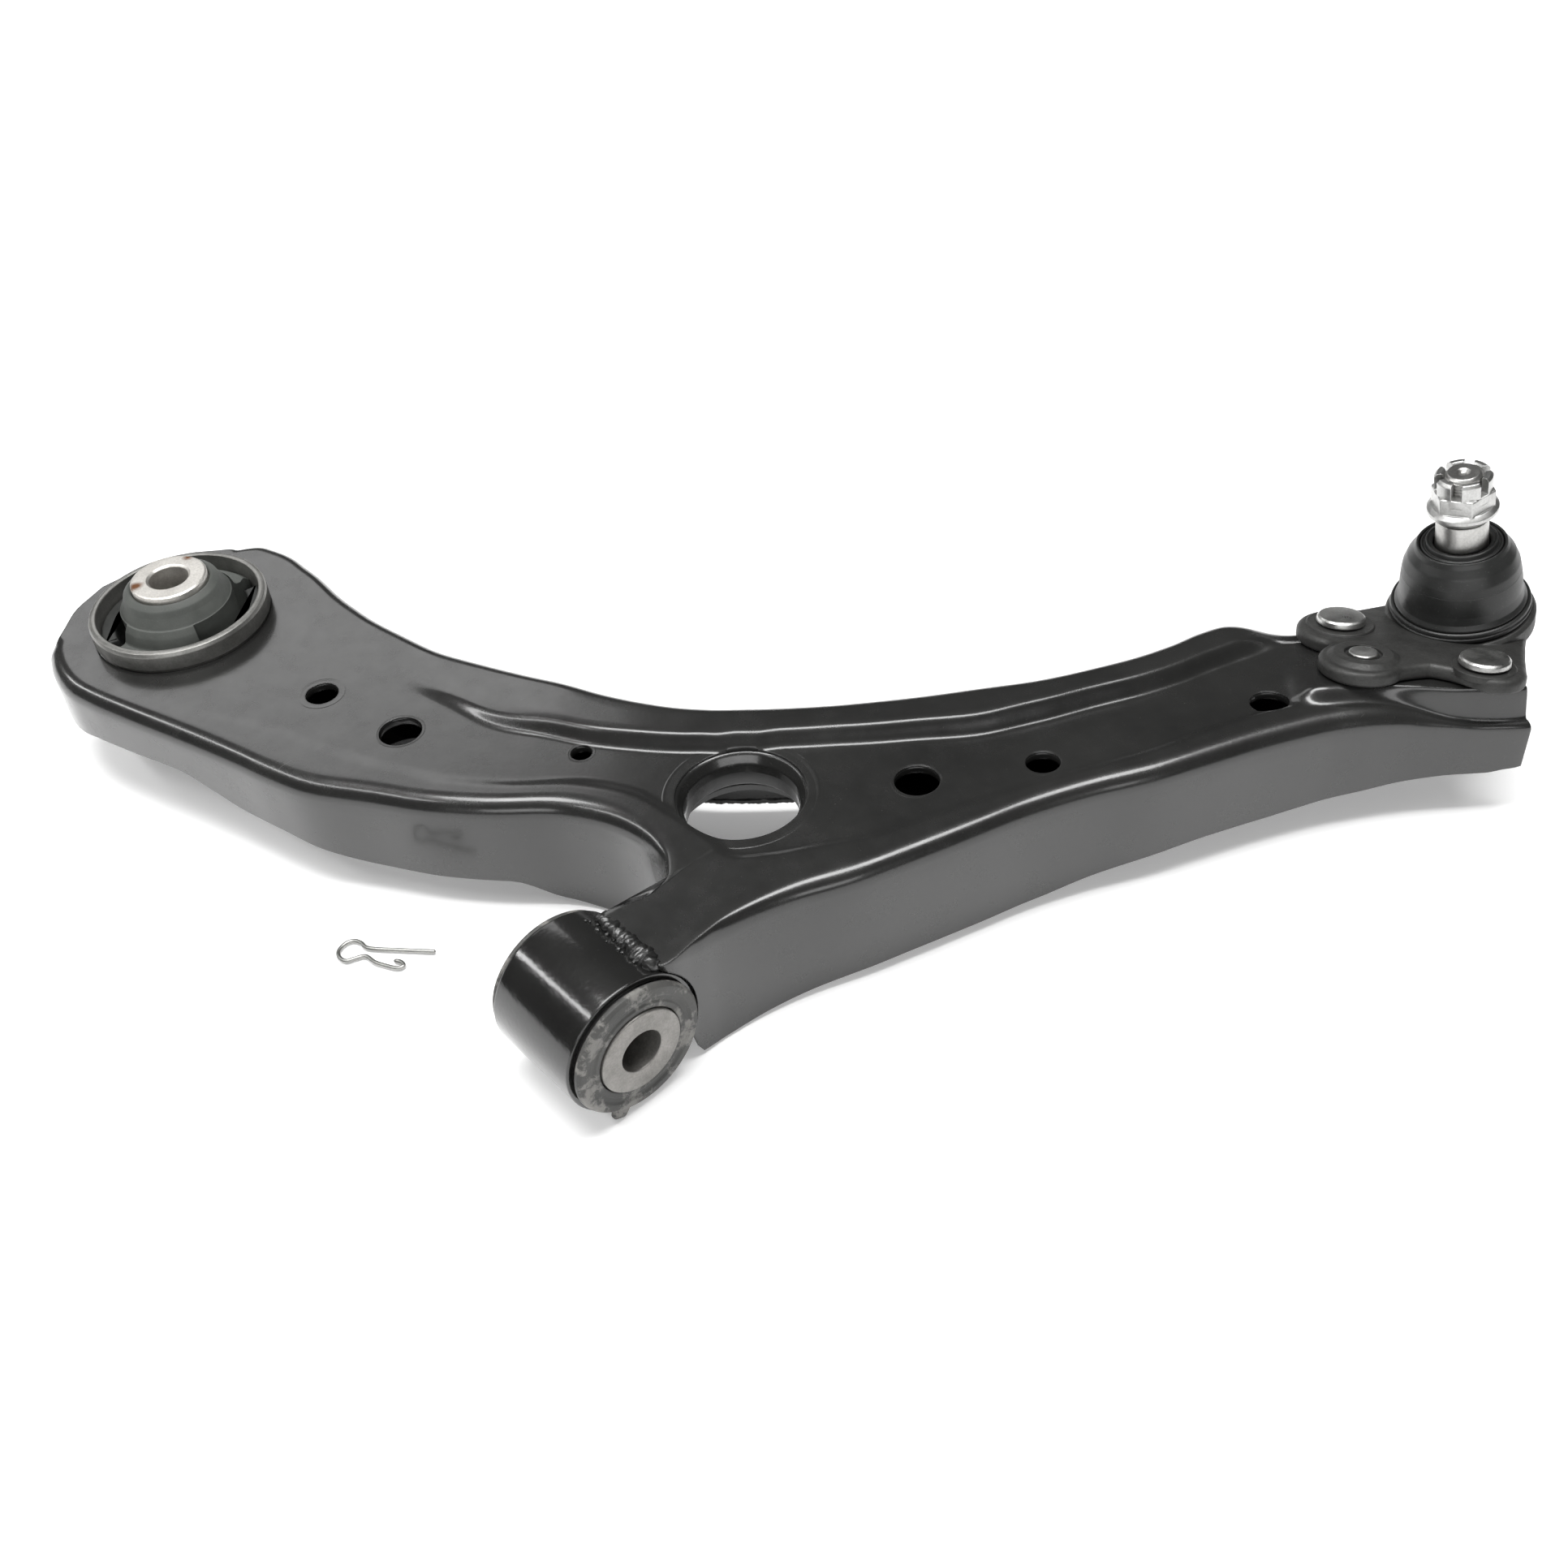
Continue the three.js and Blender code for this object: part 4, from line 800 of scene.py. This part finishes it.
# ------------------------------------------------------------------ front bush
lathe("tube", [(21.4, 231.5), (24.0, 231.5), (24.0, 268.5), (21.4, 268.5)], PAINT_TUBE, "arm", FB, 128, 0.7, replaces=("front_bush_tube",))
lathe("bush_outer", [(19.6, 230.9), (21.1, 230.9), (21.1, 269.4), (19.6, 269.4)], OUTER, "arm", FB, 96, 0.3, replaces=("front_bush_outer_sleeve",))
flange_f = lathe("fr", [(14.9, 228.2), (21.5, 228.2), (22.7, 229.2), (22.7, 230.5), (19.3, 230.5), (19.3, 269.8), (22.7, 269.8), (22.7, 271.2), (21.8, 272.2), (19.4, 272.4), (18.6, 271.9), (17.2, 271.9), (16.6, 272.4), (14.9, 272.4)],
                 RUB_FRONT, mat=FB, seg=112, r=0.5, wob=0.006)
tab = slab("ft", roundpoly([(-25.6, -2.4), (-25.6, 2.4), (-20.5, 3.4), (-20.5, -3.4)], 1.6, 5), 269.9, 271.9, 0.6, RUB_FRONT, mat=FB @ Matrix.Rotation(math.radians(-26), 4, 'Z'))
join("bush_rubber_front", [flange_f, tab], RUB_FRONT, "arm", ("front_bush_rubber",))
lathe("bush_sleeve_front", [(7.25, 227.2), (14.6, 227.2), (14.6, 273.1), (7.25, 273.1)], SLEEVE_F, "front_sleeve", FB, 96, 0.55, replaces=("front_bush_inner_sleeve",))

# ------------------------------------------------------------------ rear bush
lathe("can", [(30.0, CAN_BOTTOM), (CAN_R, CAN_BOTTOM), (CAN_R, 0.6), (CAN_R + 0.8, 1.3), (CAN_R + 0.8, CAN_TOP - 1.6), (CAN_R + 0.2, CAN_TOP - 0.3), (CAN_R - 0.9, CAN_TOP), (30.0, CAN_TOP)],
      CAN, "arm", IDENT, 144, 0.55, replaces=("rear_bush_can",))
lathe("bush_sleeve_rear", [(7.25, -44.9), (14.0, -44.9), (14.0, TOPZ - 0.5), (13.3, TOPZ), (8.1, TOPZ), (7.25, TOPZ - 0.7)],
      SLEEVE, "rear_sleeve", IDENT, 96, 0.25, replaces=("rear_bush_inner_sleeve",))


def kidney(az, r0, r1, half, z0, z1, bev=0.01, n=40):
    out = []
    for i in range(n + 1):
        a = math.radians(az - half + 2 * half * i / n)
        out.append((r1 * math.cos(a), r1 * math.sin(a)))
    for i in range(n, -1, -1):
        a = math.radians(az - half + 2 * half * i / n)
        out.append((r0 * math.cos(a), r0 * math.sin(a)))
    return roundpoly(out, 1.4, 4), z0, z1


def with_voids(name, prof, seg=128):
    o = lathe(name, prof, RUB_REAR, seg=seg, r=0.7)
    cs = []
    for az in (-6, 174):
        ol, z0, z1 = kidney(az, 20.6, 31.5, 52, -60, 25)
        cs.append(slab("kc", ol, z0, z1, 0.01, MAT_TMP))
    return cut(o, cs, RUB_REAR, 40)


cone = with_voids("bush_rubber_rear_top", [(14.2, -11.0), (29.8, -11.0), (29.8, 1.6), (27.6, 3.7), (25.9, 2.6), (23.8, 2.9, 1.5), (22.4, 7.2, 4), (20.9, 9.6, 2), (20.3, 9.6, 1), (18.3, 13.6, 3), (17.5, 15.8, 1.5), (16.0, 17.0), (15.2, 17.6), (14.2, 16.8)])
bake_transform(cone)
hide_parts("rear_bush_rubber")
cone2 = with_voids("bush_rubber_rear_low", [(14.2, -38), (19, -38), (24.5, -27), (29.8, -26.5), (29.8, -11.2), (14.2, -11.2)])
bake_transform(cone2)
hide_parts("rear_bush_rubber")
for nm, az in (("rear_bump_stop_outer", -6), ("rear_bump_stop_inner", 174)):
    ol, z0, z1 = kidney(az, 24.6, 29.8, 40, -24, 2.5)
    slab("stop_" + nm[15:], ol, z0, z1, 1.0, RUB_STOP, "arm", replaces=(nm,))

# ------------------------------------------------------------------ ball joint
outline = []


def arc(cu, cv, r, a0, a1, n):
    for i in range(n + 1):
        a = math.radians(lerp(a0, a1, i / n))
        outline.append((cu + r * math.cos(a), cv + r * math.sin(a), 0.0))


arc(420.3, -46.0, 14.8, 95, 235, 24)
outline.append((412.4, -59.2, 3.0))
arc(420.3, -71.6, 14.0, 128, 318, 36)
outline += [(436.0, -79.6, 3), (441.2, -78.6, 3), (446.4, -81.6, 3), (452.2, -87.2, 3)]
arc(460.2, -82.0, 10.4, 240, 350, 20)
outline += [(473.6, -74, 5), (478.0, -62, 5), (483.5, -49, 5)]
arc(462.4, -40.3, 22.6, -20, 110, 30)
outline += [(440, -27.5, 5), (430, -31.2, 5)]
loc = []
inv = FLANGE.inverted()
for u, v, r in outline:
    p = inv @ on_flange(u, v)
    loc.append((p.x, p.y, r))
ol = roundpoly(loc, 2.0, 5)
parts = [slab("bf", ol, -FL_T, 0, 2.1, CAST, mat=FLANGE, n=6, bev_low=1.2)]
parts.append(lathe("b1", [(0, -2.4), (13.6, -2.4, 0.5), (13.2, -0.9, 1.5), (9.6, 1.55, 1.2), (6.2, 1.55), (6.1, 0.3), (5.2, 0.3), (5.2, -1.0), (0, -1.0)], CAST, mat=frame_on(RIVETS["frontLeft"], FL_N), seg=80, r=0.35, closed=False))
parts.append(lathe("b2", [(0, -2), (11.5, -2), (11.5, 0.35), (11.1, 0.7), (10.4, 0.45), (0, 0.45)], CAST, mat=frame_on(RIVETS["back"], FL_N), seg=80, r=0.25, closed=False))
parts.append(lathe("b4", [(0, -2), (10.2, -2), (10.2, 0.2), (9.8, 0.35), (0, 0.35)], CAST, mat=frame_on(RIVETS["frontRight"], FL_N), seg=80, r=0.2, closed=False))
parts.append(lathe("b3", [(17.2, -33), (19.5, -33), (21.5, -31), (21.5, -13), (24.4, -9.5), (24.6, -4.2), (23.6, -3.0), (14.6, -3.0), (14.6, -8), (16.2, -8), (16.2, -29), (17.2, -29.6)], CAST, mat=BALL, seg=112, r=0.7))
bracket = join("bracket", parts, CAST, "arm", ("ball_joint_bracket",))

for nm, mt in (("ball_seat", SEAT), ("housing_cap", DARK)):
    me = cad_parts[nm].data
    me.materials.clear()
    me.materials.append(mt)

stud = [(0, BALL_T - BALL_R)]
for i in range(1, 25):
    a = math.radians(lerp(-90, 58.8, i / 24))
    stud.append((BALL_R * math.cos(a), BALL_T + BALL_R * math.sin(a), 0))
stud += [(6.2, 0), (6.2, 2), (8.9, 9), (8.9, 14), (8.75, 17.5), (8.55, 17.9), (8.7, 18.4), (8.35, 33.6), (6.0, 34.4)]
z = 34.8
while z < STUD_TOP_T - 1.2:
    stud += [(6.0, z, 0.1), (5.45, z + 0.55, 0.1)]
    z += 1.1
stud += [(6.0, STUD_TOP_T - 1.0), (5.0, STUD_TOP_T), (2.2, STUD_TOP_T), (1.2, STUD_TOP_T - 0.9), (0, STUD_TOP_T - 1.4)]
st = lathe("st", stud, STUD, mat=BALL, seg=80, r=0.4, closed=False)
pin_hole = rod(1.9, -12, 12, 32, BALL @ Matrix.Translation((0, 0, 46.6)) @ Matrix.Rotation(math.pi / 2, 4, 'Y'))
cut(st, [pin_hole], STUD)
st.name = "stud"
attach(st, "stud")
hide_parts("ball_stud")

hexa = [(NUT_AF / math.sqrt(3) * math.cos(math.radians(i * 60 + 30)), NUT_AF / math.sqrt(3) * math.sin(math.radians(i * 60 + 30))) for i in range(6)]
h = slab("hx", roundpoly(hexa, 0.6, 4), 38.2, 45.0, 0.5, ZINC, mat=BALL)
chamfer = lathe("hc", [(9.7, 45.2), (14, 45.2), (14, 42.4)], MAT_TMP, mat=BALL, seg=96, r=0.0)
cut(h, [chamfer], ZINC)
fl = lathe("hf", [(6.3, 35.6), (8.8, 34.7), (9.4, 34.9), (11.4, 36.9), (11.4, 38.2), (10.0, 39.4), (6.3, 39.4)], ZINC, mat=BALL, seg=96, r=0.35)
cr = lathe("hr", [(6.3, 42), (9.1, 42), (9.2, 49.6), (8.3, 50.6), (6.9, 50.6), (6.3, 50.0)], ZINC, mat=BALL, seg=96, r=0.35)
slots = []
for i in range(3):
    half = 1.65
    bx = [(-15, -half), (15, -half), (15, half), (-15, half)]
    slots.append(slab("sl", bx, 44.9, 53, 0.01, MAT_TMP, mat=BALL @ Matrix.Rotation(i * math.pi / 3, 4, 'Z')))
for i in range(3):
    pass
m0 = cr
for s_ in slots:
    m0 = cut(m0, [s_], ZINC)
join("nut", [h, fl, m0], ZINC, "stud", ("castle_nut",))

boot1 = lathe("boot_skirt", [(17.4, 0.2), (21.3, 0.3), (21.6, 1.5), (20.5, 3.0, 0.8), (20.0, 6.0, 3), (19.75, 9.5, 3), (19.30, 13.0, 0), (17.2, 13.0, 0), (18.0, 8), (18.2, 4.5)], BOOT, mat=BALL, seg=112, r=1.0)
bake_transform(boot1)
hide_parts("dust_boot")
boot2 = lathe("boot_crown", [(19.31, 12.9, 0), (18.75, 16.0, 4), (17.3, 19.6, 4), (15.3, 22.2, 2), (14.6, 23.6, 0.5), (14.2, 24.1, 0.3), (13.6, 23.7), (13.5, 21.2), (10.4, 19.8), (10.4, 17.2), (13.6, 17.4), (15.6, 16), (16.8, 12.9, 0)], BOOT, mat=BALL, seg=112, r=0.8)
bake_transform(boot2)
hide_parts("dust_boot")
lathe("lip_rings", [(9.2, 16.6), (10.0, 16.6), (10.1, 20.2), (13.2, 21.4), (13.2, 23.6), (12.7, 24.0), (12.2, 23.4), (11.8, 23.4), (11.5, 24.9), (10.9, 25.2), (10.5, 24.6), (9.9, 24.6), (9.2, 24.2)], BOOT, "boot_lip", BALL, 96, 0.3, replaces=("boot_lip_ring",))
lathe("base_ring", [(20.9, -2.6), (23.0, -2.2), (23.2, -1.0), (22.6, -0.6), (22.9, -0.2), (22.7, 0.7), (22.1, 1.1), (20.9, 0.2)], BOOT, "arm", BALL, 112, 0.3, replaces=("boot_base_ring",))

# ------------------------------------------------------------------ rivets and lock pin
under = FL_T + 0.6 + T_UP
L = 0.45 + under
heads = [(0, -L - 3.2), (4.9, -L - 3.2), (5.7, -L - 2.4), (5.7, -L), (4.8, -L), (4.8, 0.95), (8.0, 0.95), (8.3, 1.4), (8.1, 2.9), (7.4, 3.5), (4, 3.62), (0, 3.65)]
small = [(0, -L - 3.0), (7.6, -L - 3.0), (8.2, -L - 2.4), (8.2, -L), (4.8, -L), (4.8, 1.7), (4.2, 2.0), (1.2, 1.9), (0, 1.8)]
slim = [(0, -L - 3.2), (3.9, -L - 3.2), (4.3, -L - 2.6), (4.3, -3.5), (4.8, -3.0), (4.8, 0.95)] + heads[6:]
for nm, key, prof in (("rivet_back", "back", heads), ("rivet_front_left", "frontLeft", small), ("rivet_front_right", "frontRight", slim)):
    lathe(nm + "_body", prof, ZINC_RIVET, "arm", frame_on(RIVETS[key], FL_N), 80, 0.35, False, (nm,), 0.004)

PIN_R = 0.75
pin = [(107.6, -135.9), (95, -134.4), (84.5, -132.9), (81.2, -130.2), (78.4, -129.1), (75.8, -130.4), (74.2, -133.4), (75.0, -136.4), (77.6, -138.2),
       (80.6, -137.2), (84.0, -136.5), (87.6, -139.4), (91.6, -141.2), (95.6, -142.5), (97.6, -141.6), (96.4, -139.8), (93.8, -139.0)]
bead("wire_pin", [(u, v, -44.9 + PIN_R) for u, v in pin], PIN_R, ZINC_PIN, "lock_pin", sides=12, step=0.35, replaces=("lock_pin",))

# ------------------------------------------------------------------ camera, light, floor
cam = bpy.data.cameras.new("cam")
cam.sensor_width = 36
cam.sensor_fit = 'HORIZONTAL'
cam.lens = 2151.36 / 1932 * 36
cam.clip_end = 20
co = bpy.data.objects.new("cam", cam)
bpy.context.scene.collection.objects.link(co)
RZ = Matrix.Rotation(ROT, 3, 'Z')
rt = (RZ @ Vector((0.9975, 0, -0.0707))).normalized()
bk = (RZ @ Vector((0.0473, -0.74268, 0.66797))).normalized()
upv = bk.cross(rt).normalized()
rt = upv.cross(bk)
m = Matrix((rt, upv, bk)).transposed().to_4x4()
m.translation = row(253.8, -530.9, 378.0)
co.matrix_world = m
bpy.context.scene.camera = co

me = bpy.data.meshes.new("floor")
me.from_pydata([(-9, -9, 0), (9, -9, 0), (9, 9, 0), (-9, 9, 0)], [], [(0, 1, 2, 3)])
fl_o = bpy.data.objects.new("floor", me)
bpy.context.scene.collection.objects.link(fl_o)
fm = Mat("floor_pale")
me.materials.append(fm.put(fm.ramp(fm.noise(3, 2, 0.5), [(0.3, 0.86), (0.7, 0.88)]), 0.9, fm.bump(fm.noise(400, 2, 0.5), 0.02, 0.0002), 0.0, 0.2))
fm.b.inputs["Emission Color"].default_value = (1, 1, 1, 1)
fm.b.inputs["Emission Strength"].default_value = 0.24
fl_o.location = (0, 0, -0.0004)

w = bpy.data.worlds.new("w")
bpy.context.scene.world = w
w.use_nodes = True
wt = w.node_tree
wg = wt.nodes["Background"]
tc = wt.nodes.new("ShaderNodeTexCoord")
sp = wt.nodes.new("ShaderNodeSeparateXYZ")
wr = wt.nodes.new("ShaderNodeValToRGB")
wt.links.new(tc.outputs["Generated"], sp.inputs[0])
wt.links.new(sp.outputs[2], wr.inputs[0])
el = wr.color_ramp.elements
el[0].position, el[0].color = 0.0, (0.05, 0.05, 0.05, 1)
el[1].position, el[1].color = 1.0, (0.50, 0.50, 0.49, 1)
e = el.new(0.30)
e.color = (0.06, 0.06, 0.06, 1)
e = el.new(0.72)
e.color = (0.10, 0.10, 0.098, 1)
wt.links.new(wr.outputs[0], wg.inputs[0])
wg.inputs[1].default_value = 1.0


def area(name, pos, target, sx, sy, power, xdir=None):
    l = bpy.data.lights.new(name, 'AREA')
    l.shape = 'RECTANGLE'
    l.size, l.size_y, l.energy = sx, sy, power
    o = bpy.data.objects.new(name, l)
    bpy.context.scene.collection.objects.link(o)
    z = (Vector(pos) - Vector(target)).normalized()
    x = Vector(xdir) if xdir else Vector((0, 0, 1)).cross(z)
    if x.length < 1e-3:
        x = Vector((1, 0, 0))
    x = (x - z * x.dot(z)).normalized()
    m = Matrix((x, z.cross(x), z)).transposed().to_4x4()
    m.translation = pos
    o.matrix_world = m
    return o


area("over", row(230, -60, 1500), row(230, -90, 0), 1.5, 0.55, 34, RZ @ Vector((1, 0, 0)))
area("back", row(-430, 1080, 830), row(60, -40, 0), 0.7, 0.5, 2.2)
area("left", row(-787, -55, 862), row(180, -185, 0), 1.3, 0.10, 5.0, (1, 0, 0))
area("front", row(300, -1300, 500), row(260, -100, 0), 1.6, 0.35, 6)
bpy.context.scene.view_settings.view_transform = 'Standard'
bpy.context.scene.view_settings.look = 'None'
bpy.context.scene.view_settings.exposure = 0.0
